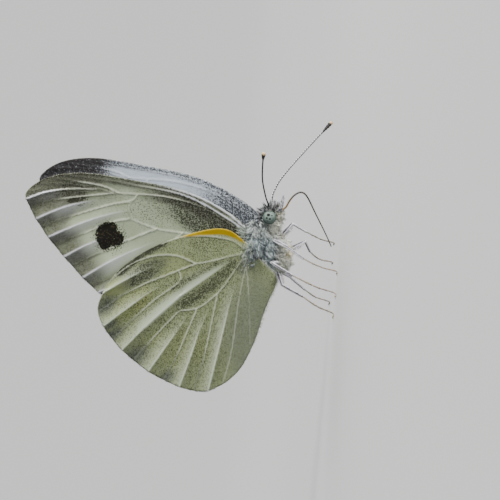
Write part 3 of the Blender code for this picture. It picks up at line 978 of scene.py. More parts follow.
def number_marks(plan, marks, look):
    """The marks by name, with the veins, the folds, painted light and shade on each fold's flanks and crest,
    and in the veins' creases.
    """
    vein_gap, vein_along, fold_gap, fold_along, fold_side, rim_gap = plan.measured
    x, z = plan.points.T
    creased = ease(z, 12.0, 13.5) * (1 - look["smooth_front"] * ease(x, -4.5, -2.0))
    creased = creased * (1 - ease(rim_gap, look["crease_reach"] / 2, look["crease_reach"]))
    # A dark line along the outer veins, where they lie in the valleys of the pleats: painted shade.
    crease_shade = bell(vein_gap, 0.08) * ease(vein_along, 0.5, 0.75) * creased * look["crease_shade"]
    vein = bell(vein_gap, 0.055 - 0.025 * vein_along)
    vein = vein * (1 - crease_shade) * (1 - marks.get("faint", 0.0))
    grown = ease(fold_along, 0.02, 0.6)
    # The crest of each fold, which gets a painted highlight.
    fold = bell(fold_gap, 0.06 + 0.03 * grown) * grown
    share = vein_gap / (vein_gap + fold_gap + 1e-6)
    flank = ease(fold_gap, 0.04, 0.16) * grown
    lit_side = fold_side * look["lit_side"] > 0
    lee_side = fold_side * look["lit_side"] < 0
    # The flank away from the lamp is painted darker, as painted shade, with a thin painted shadow beside
    # each vein on that side; the valley of the lit flank gets a little painted shade too.
    lee = flank * (0.25 + 0.75 * share) * (1 - look["lee_rim"] * ease(rim_gap, 1.1, look["lee_reach"]))
    lee = most(lee, 0.8 * bell(vein_gap - 0.12, 0.08) * grown) * lee_side * look["lee"]
    shade = most(lee, look["valley"] * lit_side * (1 - share) * grown)
    # The flank toward the lamp is painted paler: painted light.
    lit = lit_side * flank * share ** look["lit_power"]
    lit = lit * (1 - look["lit_rim"] + look["lit_rim"] * ease(rim_gap, 1.0, 3.6))
    nothing = np.zeros(len(x))
    given = {name: marks.get(name, nothing) for name in MARKS}
    return {**given, "vein": vein, "crease_shade": crease_shade, "fold": fold, "shade": shade, "lit": lit}


# %% The paints of the four surfaces
# Each paint's tints include the painted shade of the folds' darker flanks and the painted highlight of their
# crests.
fore_under = wing_paint(
    "forewing_underside", 1.08, ground=(156, 169, 131), clean=(172, 185, 158), olive=(44, 47, 14),
    lee=(98, 104, 72), bare=(214, 216, 230), vein=(214, 218, 196), fold=(246, 247, 254), dust=(20, 15, 9),
    grey=(54, 57, 33))
hind_under = wing_paint(
    "hindwing_underside", 1.25, ground=(134, 146, 101), clean=(147, 160, 123), olive=(136, 146, 76),
    lee=(78, 86, 58), bare=(182, 197, 168), vein=(192, 199, 174), fold=(222, 234, 210), dust=(42, 41, 31),
    grey=(46, 55, 42))
fore_upper = wing_paint(
    "forewing_upperside", 1.0, ground=(186, 198, 210), clean=(210, 219, 232), olive=(180, 184, 170),
    lee=(150, 156, 168), bare=(226, 229, 232), vein=(226, 229, 232), fold=(236, 240, 250), dust=(20, 14, 12),
    grey=(64, 56, 54))
hind_upper = wing_paint(
    "hindwing_upperside", 1.0, ground=(206, 211, 208), clean=(214, 219, 218), olive=(196, 200, 182),
    lee=(176, 182, 178), bare=(226, 228, 228), vein=(226, 228, 228), fold=(236, 240, 244), dust=(50, 50, 52),
    grey=(120, 122, 126))
print("wing paints:", ", ".join(paint.name for paint in (fore_under, hind_under, fore_upper, hind_upper)))

# %% [markdown]
# Each sheet is closed: an outer side, an inner side, and a narrow strip around the rim that joins them. The
# map for baking lays the two sides next to each other, in the wing's own plane.

# %% The four wing sheets
UPPER_SHADE = 0.2         # how much of the folds' shade the paler upperside has
MAP_SHARE = (0.48, 0.96)  # how much of the map one side of a wing may fill
MAP_EDGE = 0.01           # and its gap from the map's edge
OTHER_SIDE = (0.5, 0.0)   # how far beside it the other side lies


def rim_edges(faces):
    """The directed edges that belong to one triangle only."""
    edges = np.concatenate([faces[:, [0, 1]], faces[:, [1, 2]], faces[:, [2, 0]]])
    keys = np.sort(edges, 1)
    _, first, counts = np.unique(keys, axis=0, return_index=True, return_counts=True)
    return edges[first[counts == 1]]


def layout_on(plan, flat):
    """Where a flat point lies on the map for baking."""
    return (flat - plan.rim.min(0)) / np.ptp(plan.rim, axis=0).max() * MAP_SHARE + MAP_EDGE


def wing_sheet(name, held, paints, under_marks, upper_marks, look):
    plan = held.plan
    count = len(plan.points)
    outer = held.at(plan.points, plan.pleat + SKIN_HALF + plan.rib)
    inner = held.at(plan.points, plan.pleat - SKIN_HALF - plan.rib * 0.6)
    faces = plan.faces
    a, b, c = (outer[faces[0, k]] for k in range(3))
    if np.cross(b - a, c - a)[1] * held.side < 0:
        faces = faces[:, ::-1]
    strip = rim_edges(faces)
    strip = np.stack([strip[:, 1], strip[:, 0], strip[:, 0] + count, strip[:, 1] + count], 1)
    sides = np.concatenate([faces, faces[:, ::-1] + count])
    face_paint = np.repeat([0, 1, 0], [len(faces), len(faces), len(strip)])
    mesh = new_mesh(name, np.concatenate([outer, inner]), [sides, strip], paints, face_paint)
    rim_gap = plan.measured[-1]
    outside = number_marks(plan, under_marks(plan.points, rim_gap), look)
    within = number_marks(plan, upper_marks(plan.points, rim_gap), look)
    within["shade"] = within["shade"] * UPPER_SHADE
    flat = np.column_stack([plan.points, np.zeros(count)])
    keep_numbers(mesh, flat=np.concatenate([flat, flat]))
    keep_numbers(mesh, **{key: np.concatenate([outside[key], within[key]]) for key in outside})
    layout = layout_on(plan, plan.points)
    keep_bake_map(mesh, np.concatenate([layout, layout + OTHER_SIDE]))
    return add_piece(name + "_sheet", mesh, held.slot, [name])


for name, held in WINGS.items():
    if held.outer:
        wing_sheet(name, held, (hind_under, hind_upper), hindwing_under, hindwing_upper, HINDWING_FLANKS)
    else:
        wing_sheet(name, held, (fore_under, fore_upper), forewing_under, forewing_upper, FOREWING_FLANKS)

# %% [markdown]
# The body is one soft form: head, thorax and abdomen are covered by the same skin, and no seam shows between
# them. The solids already have the right outline, out to the tips of the wool. So the skin is made from
# them: each is shrunk by the depth of its wool, small balls bridge the neck, the waist and the wing roots,
# and a voxel remesh melts everything into one closed surface.

# %% The body's skin
WOOL_DEPTH = {"thorax": 0.42, "head": 0.3, "abdomen": 0.2}
SKIN_VOXEL = 0.085        # how fine the remesh is
SKIN_SMOOTHING = 6        # how often it is smoothed
BRIDGES = [
    # middle and half sizes of each ball
    ((2.9, 0.0, 7.5), (0.9, 0.62, 0.95)),
    ((-2.8, 0.0, 8.0), (0.9, 0.85, 0.9)),
    ((1.75, 0.95, 9.45), (1.3, 0.28, 0.72)),
    ((1.75, -0.95, 9.45), (1.3, 0.28, 0.72)),
    ((0.3, 1.32, 9.2), (1.35, 0.36, 0.85)),
    ((0.3, -1.32, 9.2), (1.35, 0.36, 0.85)),
]


def read_points(mesh):
    """Points of a mesh in millimetres, and its normals there."""
    points, normals = np.empty((2, len(mesh.vertices) * 3))
    mesh.vertices.foreach_get("co", points)
    mesh.vertices.foreach_get("normal", normals)
    return points.reshape(-1, 3) / MM - ORIGIN, normals.reshape(-1, 3)


def shrunk_solid(name, depth):
    """A solid's points drawn in along their normals, and its triangles."""
    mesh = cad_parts[name].data
    points, normals = read_points(mesh)
    return points - normals * depth, np.array([face.vertices[:] for face in mesh.polygons])


def ball(middle, half, rings=14, sides=24):
    """A ball stretched to its half sizes, with its poles up and down."""
    rise = np.linspace(-math.pi / 2, math.pi / 2, rings + 1)
    profile = [(max(1e-3, math.cos(v)), math.sin(v)) for v in rise]
    points, _ = turned(profile, sides)
    return points * np.array(half) + np.array(middle), closed_rings(rings + 1, sides)


def joined(parts):
    """Points and faces of several shapes in one list."""
    starts = np.cumsum([0] + [len(points) for points, _ in parts[:-1]])
    faces = np.concatenate([faces + start for (_, faces), start in zip(parts, starts)])
    return np.concatenate([points for points, _ in parts]), faces


def melted(name, parts, voxel, smoothing):
    """One closed surface around all the parts."""
    mesh = new_mesh(name, *joined(parts))
    guide = placed(name + "_guide", mesh)
    remesh = guide.modifiers.new("melt", "REMESH")
    remesh.mode = "VOXEL"
    remesh.voxel_size = voxel * MM
    soften = guide.modifiers.new("soften", "SMOOTH")
    soften.iterations = smoothing
    soften.factor = 0.5
    evaluated = guide.evaluated_get(bpy.context.evaluated_depsgraph_get())
    result = bpy.data.meshes.new_from_object(evaluated)
    bpy.data.objects.remove(guide)
    bpy.data.meshes.remove(mesh)
    result.name = name
    result.shade_smooth()
    return result


solid_parts = [shrunk_solid(name, depth) for name, depth in WOOL_DEPTH.items()]
skin = melted("body_skin", solid_parts + [ball(*bridge) for bridge in BRIDGES], SKIN_VOXEL, SKIN_SMOOTHING)


skin_points, skin_normals = read_points(skin)
skin.calc_loop_triangles()
skin_faces = np.empty(len(skin.loop_triangles) * 3, np.int32)
skin.loop_triangles.foreach_get("vertices", skin_faces)
skin_faces = skin_faces.reshape(-1, 3)


BODY_AXIS = 7.6           # height of the body's middle line
TAIL_RISE = 0.16          # and how fast it climbs along the abdomen
BODY_BEHIND = 11.5        # how far the body reaches behind the thorax's middle
BODY_SPAN = 18.5


def laid_out(points):
    """Where a place on the body lies when its skin is slit along the belly and laid out flat."""
    x, y, z = points.T
    middle = BODY_AXIS + TAIL_RISE * np.maximum(0, -x - 3)
    around = np.arctan2(y, z - middle) / (2 * math.pi) + 0.5
    return np.stack([(x + BODY_BEHIND) / BODY_SPAN, around], 1)


keep_numbers(skin, root=skin_points, tip=np.zeros(len(skin_points)), luck=np.full(len(skin_points), 0.5))
print("skin:", len(skin_faces), "triangles")

# %% [markdown]
# Wool, bristles and fringes are all the same thing to a maker: a thin closed blade with a root, a lie and a
# bend, repeated many times. One function makes thousands of them at once as a single mesh. Each blade has a
# three-sided section that narrows to a point. It remembers its root, so that its colour can follow
# the skin's markings, and a random number of its own.

# %% Blades for wool, bristles and fringes
SWAY = 5.0                # how far a wavy blade's wave runs from root to tip, in radians
rng = np.random.default_rng(20)


def unit(vectors):
    return vectors / np.maximum(np.linalg.norm(vectors, axis=-1, keepdims=True), 1e-9)


def blades(roots, lie, lift, lengths, widths, rings, bend, wave=0.0, flatness=0.35):
    """Closed blades: lie is each one's way along the skin, lift its way off it, both of unit length."""
    count = len(roots)
    widths = np.broadcast_to(widths, count)
    bend = np.broadcast_to(bend, count)
    across = unit(np.cross(lie, lift))
    rise = unit(np.cross(across, lie))
    phase = rng.uniform(0, 2 * math.pi, count)
    points, tips = [], []
    for ring in range(rings):
        share = ring / rings
        sway = wave * np.sin(phase + share * SWAY) - wave * np.sin(phase)
        middle = roots + (lie * share + rise * (bend * share ** 2)[:, None]) * lengths[:, None]
        middle = middle + across * (sway * lengths)[:, None]
        half = widths * (1 - 0.75 * share ** 2) / 2
        points.append(middle - across * half[:, None])
        points.append(middle + across * half[:, None])
        points.append(middle + rise * (widths * flatness)[:, None] * (1 - share))
        tips += [share] * 3
    sway = wave * np.sin(phase + SWAY) - wave * np.sin(phase)
    points.append(roots + (lie + rise * bend[:, None] + across * sway[:, None]) * lengths[:, None])
    tips.append(1.0)
    each = len(points)
    points = np.stack(points, 1).reshape(-1, 3)
    faces = [(1, 0, 2)]
    for ring in range(rings - 1):
        a = ring * 3
        for k in range(3):
            b = (k + 1) % 3
            faces += [(a + k, a + b, a + 3 + b), (a + k, a + 3 + b, a + 3 + k)]
    a = (rings - 1) * 3
    faces += [(a, a + 1, each - 1), (a + 1, a + 2, each - 1), (a + 2, a, each - 1)]
    faces = (np.array(faces)[None] + (np.arange(count) * each)[:, None, None]).reshape(-1, 3)
    return points, faces, np.tile(tips, count), each


PATCH = 0.003             # size of a blade's patch on the map for baking
PATCH_ROOM = (0.004, 0.996)     # where on the map the patches may lie


def coat_piece(name, made, roots, layout, paint, slot):
    """A mesh of blades with its numbers and its map for baking."""
    points, faces, tips, each = made
    mesh = new_mesh(name, points, faces, [paint])
    luck = rng.uniform(0, 1, len(roots))
    keep_numbers(mesh, root=np.repeat(roots, each, axis=0), tip=tips, luck=np.repeat(luck, each))
    corner = np.tile(np.stack([(np.arange(each) % 3 - 1) / 2, tips[:each] - 0.5], 1), (len(roots), 1))
    keep_bake_map(mesh, np.repeat(np.clip(layout, *PATCH_ROOM), each, axis=0) + corner * PATCH)
    return add_piece(name, mesh, slot)


def scatter(points, normals, faces, density):
    """Random places on a surface; density is how many to set on a square millimetre at each point."""
    a, b, c = (points[faces[:, k]] for k in range(3))
    areas = np.linalg.norm(np.cross(b - a, c - a), axis=1) / 2
    wanted = areas * density[faces].mean(1)
    count = int(wanted.sum())
    chosen = np.searchsorted(np.cumsum(wanted) / wanted.sum(), rng.uniform(0, 1, count))
    u, v = rng.uniform(0, 1, (2, count))
    over = u + v > 1
    u[over], v[over] = 1 - u[over], 1 - v[over]
    w = 1 - u - v
    weights = np.stack([w, u, v], 1)
    places = (points[faces[chosen]] * weights[..., None]).sum(1)
    return places, unit((normals[faces[chosen]] * weights[..., None]).sum(1))


def along_skin(way, normals):
    """The part of a direction that lies along the skin."""
    return unit(way - (way * normals).sum(1, keepdims=True) * normals)


# %% [markdown]
# The wool is bluish white with dark skin showing through, cream on the collar and the belly, and the crown
# of the head has stiff dark bristles. One function colours it all by the place of each blade's root. The
# skin below gets the same markings, only darker, as it would if a few hairs were rubbed off. Each blade
# darkens toward its root: partly the dark skin showing through, partly painted shade deep in the coat.

# %% Wool and skin as materials
SOOT = [
    # middle and half sizes of the sooty marks on the thorax's sides
    ((0.5, 0.0, 9.25), (0.35, 9.0, 0.3)),
    ((0.0, 0.0, 8.9), (0.4, 9.0, 0.3)),
    ((-0.25, 0.0, 6.8), (0.3, 9.0, 0.25)),
]
SKIN_SHOWS = 0.75         # how dark the skin is between the hairs
# The hairs' dark roots are partly the dark skin showing through and partly painted shade deep in the coat.
ROOT_SKIN_AND_SHADE = 0.6          # and how dark the roots of the hairs are


def ball_mask(x, y, z, middle, half):
    """1 in the middle of a ball stretched to its half sizes, and 0 outside."""
    parts = [(axis - at) * (1 / size) for axis, at, size in zip((x, y, z), middle, half)]
    return 1 - (parts[0] * parts[0] + parts[1] * parts[1] + parts[2] * parts[2]).between(0.3, 1.0)


def wool_paint(name, skin_and_shade):
    """The body's colours by the place of the root; the second number darkens the skin and the hairs' roots:
    the dark skin, and painted shade deep in the coat.
    """
    paint = Paint(name, IOR=1.4, Sheen_Weight=0.25)
    root = paint.kept_place("root")
    parts = root.node("ShaderNodeSeparateXYZ", (), {0: root})
    x, y, z = (Wire(parts.socket.node.outputs[k]) for k in range(3))
    patch = paint.noise(root, 1.3, 3.0)
    tuft = paint.noise(root, 4.5, 2.0)
    luck = paint.kept("luck")
    tip = paint.kept("tip")
    tone = (luck * 0.9 + patch * 1.1 - 0.47 - z.between(7.0, 8.6) * 0.22).clamped()
    wool = mix(tone, tint(76, 91, 97), tint(200, 215, 214))
    cream = mix(luck, tint(226, 227, 209), tint(255, 254, 242))
    cream = mix((patch * 2.0 - 0.9).clamped() * 0.4, cream, tint(226, 210, 152))
    belly = (1 - z.between(6.4, 7.2)) * (1 - (0 - x).between(3.6, 5.2))
    collar = x.between(1.7, 2.7) * (tuft + 0.3)
    throat = x.between(1.6, 2.4) * (1 - z.between(7.3, 8.2))
    crown = z.between(7.9, 8.5) * x.between(2.9, 3.5)
    front = x.between(4.35, 4.85) * z.between(6.2, 6.6)
    bristle = mix(luck.between(0.55, 0.95), tint(30, 30, 36), tint(140, 146, 154))
    muzzle = x.between(4.1, 4.7) * z.between(5.4, 5.9) * (1 - z.between(6.2, 6.6))
    sooty = sum(ball_mask(x, y, z, *mark) for mark in SOOT)
    buttery = ball_mask(x, y, z, (0.1, 0.0, 5.6), (1.1, 9.0, 0.6))
    waist = (0 - x).between(0.9, 1.8) * (1 - z.between(8.0, 8.8))
    tail = (0 - x).between(3.6, 5.2)
    back = mix((z - (0 - x) * 0.16).between(7.4, 8.4), tint(206, 208, 198), tint(70, 72, 76))
    dark = mix(tuft, tint(22, 26, 32), tint(58, 66, 72))
    pale_parts = (belly * 0.95 + throat * 0.75 + waist * 0.85).clamped()
    colour = layered(
        wool,
        (belly * 0.95, cream),
        ((collar * 0.3 + throat * 0.65).clamped(), cream),
        ((crown + front).clamped() * 0.9, bristle),
        (muzzle * (tuft + 0.1), tint(188, 164, 112)),
        (sooty.clamped() * 0.92, tint(20, 21, 25)),
        (buttery * 0.6, tint(246, 234, 186)),
        (waist * 0.75, tint(206, 214, 196)),
        (tail, mix(luck * 0.5, back, tint(190, 194, 190))),
        # Toward the roots the dark tint: the dark skin showing through, and on the wool painted shade deep
        # in the coat.
        ((1 - tip.between(0.0, 0.5)) * skin_and_shade * (1 - pale_parts), dark),
        (tip.between(0.55, 1.0) * 0.3, tint(236, 240, 240)),
    )
    rough = 0.78 - luck * 0.15
    fine = paint.noise(paint.stretched(root, 6.0, 18.0, 18.0), 2.2, 2.0)
    return paint.set(Base_Color=colour, Roughness=rough, Normal=paint.bump(fine, 0.5, 0.00005))


skin_material = wool_paint("skin", SKIN_SHOWS)
wool_material = wool_paint("wool", ROOT_SKIN_AND_SHADE)
skin.materials.clear()
skin.materials.append(skin_material)
add_piece("body_skin", skin, "body_coat", ["thorax", "head", "abdomen"])

# %% [markdown]
# The wool lies back along the thorax in loose waves, hangs from the belly as a fringe, and is short and
# stiff on the head. The abdomen has flat scales instead. Each coat is a scatter of blades over the skin: how
# dense, how long and which way they lie changes smoothly from place to place, and neighbours lean together
# into locks. None grows where an eye sits.

# %% Where each coat grows
EYE = np.array([4.0, 0.85, 7.7])
EYE_HALF = np.array([0.76, 0.55, 0.76])
THORAX_ENDS = (-2.9, 3.05)
SKIN_X, _, SKIN_Z = skin_points.T
BATCH = 2000              # roots that look for their lock at a time


def eye_nearness(points):
    """1 on an eye's rim and more outside it."""
    mirrored = np.stack([points[:, 0], abs(points[:, 1]), points[:, 2]], 1)
    return np.linalg.norm((mirrored - EYE) / EYE_HALF, axis=1)


def fur_zone(density, zone, clear=1.08):
    """Blade roots and normals over the part of the skin that zone picks, clear of the eyes."""
    places, normals = scatter(skin_points, skin_normals, skin_faces, density * zone)
    outside = eye_nearness(places) > clear
    return places[outside], normals[outside]


def jitter(ways, amount):
    """The same directions, each a little off by chance."""
    return unit(ways + rng.normal(0, amount, ways.shape))


def stood_up(lie, normals, stand, spread):
    """Directions along the skin, raised off it by stand and a little chance."""
    return unit(lie + normals * (stand + rng.normal(0, spread, len(lie)))[:, None])


def between(low, high, count):
    """So many random numbers between two, or just the number if both are the same."""
    return low if low == high else rng.uniform(low, high, count)


def in_locks(roots, lie, lengths, size, pull):
    """Draws the tips of so many neighbours together into a lock; returns the new lie and lengths."""
    tips = roots + lie * lengths[:, None]
    leaders = rng.choice(len(roots), max(1, len(roots) // size), replace=False)
    closest = np.empty(len(roots), int)
    for start in range(0, len(roots), BATCH):
        gap = roots[start:start + BATCH, None] - roots[leaders][None]
        closest[start:start + BATCH] = (gap ** 2).sum(2).argmin(1)
    drawn = tips + (tips[leaders][closest] - tips) * pull - roots
    return unit(drawn), np.linalg.norm(drawn, axis=1)


def grow(name, slot, roots, lie, lift, lengths, width, rings, bend, wave, flatness=0.35):
    """One coat of blades; width and bend are given by their lowest and highest value."""
    count = len(roots)
    widths = between(*width, count)
    made = blades(roots, lie, lift, lengths, widths, rings, between(*bend, count), wave, flatness)
    coat_piece(name, made, roots, laid_out(roots), wool_material, slot)


# %% The wool of the thorax
back_end, front_end = THORAX_ENDS
zone = ease(SKIN_X, back_end - 0.3, back_end + 0.3) * (1 - ease(SKIN_X, front_end - 0.3, front_end))
roots, normals = fur_zone(175.0, zone)
x, y, z = roots.T
belly = 1 - ease(z, 5.6, 7.0)
shoulder = ease(z, 8.9, 9.6) * ease(abs(y), 0.7, 1.0)
collar = ease(x, 1.8, 2.8)
ahead = -0.9 + 0.75 * belly + 0.2 * collar
up = -0.35 - 0.5 * belly + 1.1 * shoulder - 0.1 * collar
lie = jitter(along_skin(np.stack([ahead, np.zeros(len(x)), up], 1), normals), 0.28)
lie = stood_up(lie, normals, 0.3 + 0.3 * belly + 0.15 * collar - 0.1 * shoulder, 0.12)
lengths = rng.uniform(0.55, 1.15, len(x)) * (1 - 0.15 * belly) * (1 - 0.3 * shoulder)
lie, lengths = in_locks(roots, lie, lengths, 26, 0.45)
for side, chosen in (("left", y > 0), ("right", y <= 0)):
    half = [values[chosen] for values in (roots, lie, normals, lengths)]
    grow("wool_thorax_" + side, "body_coat", *half, (0.05, 0.1), 4, (-0.35, 0.1), 0.08)

# %% The fringe that hangs from the breast
zone = (1 - ease(SKIN_Z, 6.0, 6.9)) * ease(SKIN_X, -4.4, -3.6) * (1 - ease(SKIN_X, 2.9, 3.4))
roots, normals = fur_zone(100.0, zone)
x, y, z = roots.T
way = np.stack([0.12 - 0.12 * x, 0.25 * np.sign(y), np.full(len(x), -1.0)], 1)
lie = jitter(unit(unit(way) + 0.55 * normals), 0.22)
lengths = rng.uniform(0.55, 1.2, len(x)) * (1 - 0.25 * ease(x, 1.0, 3.0)) * (1 - 0.35 * ease(-x, 2.4, 3.6))
lie, lengths = in_locks(roots, lie, lengths, 14, 0.75)
grow("fringe_breast", "body_coat", roots, lie, normals, lengths, (0.06, 0.11), 3, (-0.15, 0.2), 0.06)

# %% The short coat of the head
roots, normals = fur_zone(300.0, ease(SKIN_X, front_end - 0.25, front_end + 0.05))
x, y, z = roots.T
crown = ease(z, 7.9, 8.5)
chin = 1 - ease(z, 6.3, 7.0)
way = np.stack([0.15 + 0.5 * crown, np.zeros(len(x)), -0.6 + 1.7 * crown], 1)
lie = jitter(along_skin(way, normals), 0.25)
lie = stood_up(lie, normals, 0.55 + 1.1 * crown + 0.25 * chin, 0.15)
lengths = rng.uniform(0.25, 0.5, len(x)) + 0.34 * crown * rng.uniform(0.3, 1.2, len(x)) + 0.15 * chin
lengths *= 0.55 + 0.45 * ease(eye_nearness(roots), 1.1, 1.6)
lie, lengths = in_locks(roots, lie, lengths, 14, 0.4)
grow("wool_head", "face_coat", roots, lie, normals, lengths, (0.045, 0.08), 2, (-0.3, 0.2), 0.05)

# %% Stiff bristles on the crown and the forehead, and the long hairs of the face
over = ease(SKIN_Z, 7.9, 8.4) * ease(SKIN_X, 3.0, 3.6)
fore = ease(SKIN_X, 4.35, 4.8) * ease(SKIN_Z, 6.2, 6.7)
muzzle = ease(SKIN_X, 2.6, 3.4) * (1 - ease(SKIN_Z, 6.7, 7.3))
BRISTLES = {
    # density, zone, heading, its spread, lengths, size of a lock, its pull, wave
    "bristles_crown": (110.0, most(over, fore), (0.75, 0.0, 0.25), 0.2, (0.55, 1.25), 10, 0.72, 0.02),
    "hairs_face": (95.0, muzzle, (0.15, 0.0, -0.35), 0.22, (0.35, 0.85), 12, 0.75, 0.03),
}
for name, (density, zone, heading, spread, reach, size, pull, wave) in BRISTLES.items():
    roots, normals = fur_zone(density, zone, 1.25)
    lie = jitter(unit(normals + np.array(heading)), spread)
    lie, lengths = in_locks(roots, lie, rng.uniform(*reach, len(roots)), size, pull)
    grow(name, "face_coat", roots, lie, np.roll(normals, 1, 1), lengths, (0.05, 0.09), 3, (0.1, 0.1), wave)

# %% The flat scales of the abdomen
roots, normals = fur_zone(110.0, 1 - ease(SKIN_X, back_end - 0.1, back_end + 0.3))
x, y, z = roots.T
way = np.stack([np.full(len(x), -1.0), np.zeros(len(x)), 0.16 - 0.1 * ease(z, 7, 8)], 1)
lie = stood_up(jitter(along_skin(way, normals), 0.12), normals, 0.16, 0.05)
lengths = rng.uniform(0.3, 0.5, len(x)) * (1 - 0.35 * ease(-x, 8.5, 10.5))
grow("scales_abdomen", "body_coat", roots, lie, normals, lengths, (0.09, 0.14), 2, (-0.15, -0.15), 0.02, 0.2)

# %% [markdown]
# A butterfly's eye is a dome of thousands of small lenses. It is built from a ball of even triangles turned
# inside out: each point of the ball becomes a six-sided lens with its middle raised. The pale eye shows
# a dark spot that seems to look at you, with fainter ones beside it. Here they are fixed marks on the
# outer front of each eye.

# %% Eyes with facets
LENS_RISE = 0.014         # how far a lens bulges, as a share of the eye's radius
EYE_LEVEL = 5             # how often the ball's triangles are divided
EYE_SHRINK = 0.015        # keeps the lenses inside the solid
PUPILS = [
    # direction on the right eye, width in radians and strength
    ((0.56, -0.80, 0.22), 0.28, 1.0), ((0.07, -0.90, 0.44), 0.17, 0.9), ((-0.02, -0.99, -0.03), 0.17, 0.9),
    ((0.47, -0.82, -0.30), 0.15, 0.8), ((0.80, -0.58, 0.05), 0.1, 0.5), ((-0.35, -0.85, 0.3), 0.14, 0.4),
]


def faceted_ball(level):
    """A ball of raised six-sided lenses: points, triangles, and 1 where the middle of a lens is."""
    shape = bmesh.new()
    bmesh.ops.create_icosphere(shape, subdivisions=level, radius=1.0)
    shape.verts.ensure_lookup_table()
    corners = np.array([unit(np.array(face.calc_center_median())) for face in shape.faces])
    middles = np.array([vert.co[:] for vert in shape.verts]) * (1 + LENS_RISE)
    faces = []
    for vert in shape.verts:
        ring = []
        loop = vert.link_loops[0]
        while len(ring) < len(vert.link_faces):
            ring.append(loop.face.index)
            loop = loop.link_loop_prev.link_loop_radial_next
        middle = len(corners) + vert.index
        faces += [(middle, here, after) for here, after in zip(ring, ring[1:] + ring[:1])]
    shape.free()
    points = np.concatenate([corners, middles])
    raised = np.concatenate([np.zeros(len(corners)), np.ones(len(middles))])
    faces = np.array(faces)
    a, b, c = (points[faces[:, k]] for k in range(3))
    flipped = (np.cross(b - a, c - a) * a).sum(1) < 0
    faces[flipped] = faces[flipped][:, ::-1]
    return points, faces, raised


def eye_paint():
    paint = Paint("eye", IOR=1.45, Coat_Weight=0.08, Coat_Roughness=0.3, Specular_IOR_Level=0.2)
    place = paint.kept_place("root")
    cloud = paint.noise(place, 2.2, 3.0)
    colour = layered(
        mix(cloud, tint(94, 114, 104), tint(126, 146, 134)),
        # Painted shade around the eye's edge, where it turns away toward the head.
        (paint.kept("rim") * 0.6, tint(52, 62, 56)),
        (paint.kept("halo") * 0.45, tint(178, 196, 190)),
        (paint.kept("pupil"), tint(6, 8, 9)),
        # Painted shade in the grooves between the lenses.
        ((1 - paint.kept("raised")) * 0.3, tint(36, 46, 42)),
    )
    return paint.set(Base_Color=colour, Roughness=0.42 + cloud * 0.1)


eye_material = eye_paint()
SIDES = (("left", 1), ("right", -1))
ball_points, ball_faces, raised = faceted_ball(EYE_LEVEL)
for name, side in SIDES:
    marks = np.zeros(len(ball_points))
    halo = np.zeros(len(ball_points))
    for way, width, strength in PUPILS:
        toward = unit(np.array(way) * (1, -side, 1))
        apart = np.arccos(np.clip((unit(ball_points) * toward).sum(1), -1, 1))
        marks = np.maximum(marks, strength * (1 - ease(apart, 0.6 * width, 1.25 * width)))
        halo = np.maximum(halo, strength * (1 - ease(apart, 1.3 * width, 2.3 * width)))
    # rim is 1 where the eye turns away from its outer side, toward the head; there the eye is painted darker
    # as shade.
    outward = unit(ball_points) @ unit(np.array([0.25, side * 1.0, 0.1]))
    rim = 1 - ease(outward, 0.25, 0.62)
    points = ball_points * (EYE_HALF - EYE_SHRINK) + EYE * (1, side, 1)
    mesh = new_mesh("eye_" + name + "_lenses", points, ball_faces, [eye_material])
    keep_numbers(mesh, root=points, pupil=marks, halo=halo * (1 - marks), rim=rim, raised=raised)
    add_piece("eye_" + name + "_lenses", mesh, "eye", ["eye_" + name])

# %% [markdown]
# Feelers, palps, tongue and legs are all thin jointed tubes. Their middle lines are those of the solids, but
# the real ones are thinner than a solid may be: a feeler's shaft is 0.16 mm thick. A tube is swept along a
# smooth line here, ring by ring, because each ring can then have its own width and the joints become
# real swellings. Every point keeps how far along and how far round the tube it lies.

# %% Tubes with joints
SEAM_WIDTH = 0.09         # of the nip between two joints, as a share of a joint
SEAM_DEPTH = 2.2          # and its depth, as a share of the swelling


def frames(line):
    """Directions along a line, and a sideways one that turns as little as it can."""
    ahead = unit(np.gradient(line, axis=0))
    sideways = [unit(np.cross(ahead[0], (0.13, 0.31, 1.0)))]
    for way in ahead[1:]:
        last = sideways[-1]
        sideways.append(unit(last - way * (last @ way)))
    return ahead, np.array(sideways)


def tube(line, radii, sides=12, flat=1.0):
    """Points, faces and numbers of a closed tube; flat squeezes its section one way."""
    ahead, sideways = frames(line)
    other = np.cross(ahead, sideways)
    turns = np.arange(sides) * 2 * math.pi / sides
    across = sideways[:, None] * np.cos(turns)[None, :, None] * flat
    ring = across + other[:, None] * np.sin(turns)[None, :, None]
    points = (line[:, None] + ring * np.reshape(radii, (-1, 1, 1))).reshape(-1, 3)
    reach = reaches(line)
    along = np.repeat(reach / reach[-1], sides)
    return points, closed_rings(len(line), sides), along, np.tile(turns, len(line))


def jointed(count, swell, steps=6):
    """Widths along a row of joints: each widens gently to its far end and is nipped at the seam."""
    t = np.arange(count * steps) / steps
    within = t - np.floor(t)
    seam = bell(np.minimum(within, 1 - within), SEAM_WIDTH)
    return t / count, 1 + swell * (within - 0.5) - SEAM_DEPTH * swell * seam


def along_line(line, shares):
    """Places on a line at shares of its length."""
    reach = reaches(line)
    return np.stack([np.interp(shares * reach[-1], reach, line[:, k]) for k in range(3)], 1)


def limb_mesh(name, paint, parts):
    """Several tubes in one mesh, with their numbers."""
    points, faces = joined([(part[0], part[1]) for part in parts])
    mesh = new_mesh(name, points, faces, [paint])
    keep_numbers(mesh, root=points, along=np.concatenate([part[2] for part in parts]))
    around = np.concatenate([part[3] for part in parts])
    keep_numbers(mesh, stripe=np.cos(around), under=np.sin(around))
    keep_numbers(mesh, kind=np.concatenate([np.full(len(part[0]), k) for k, part in enumerate(parts)]))
    return mesh


# %% [markdown]
# A feeler has some forty joints, black with a white ring on each, and ends in a flattened dark club with a
# pale tip. Its shape is a row of joints along the curve of the solid, and its rings come from how far
# along each point lies.

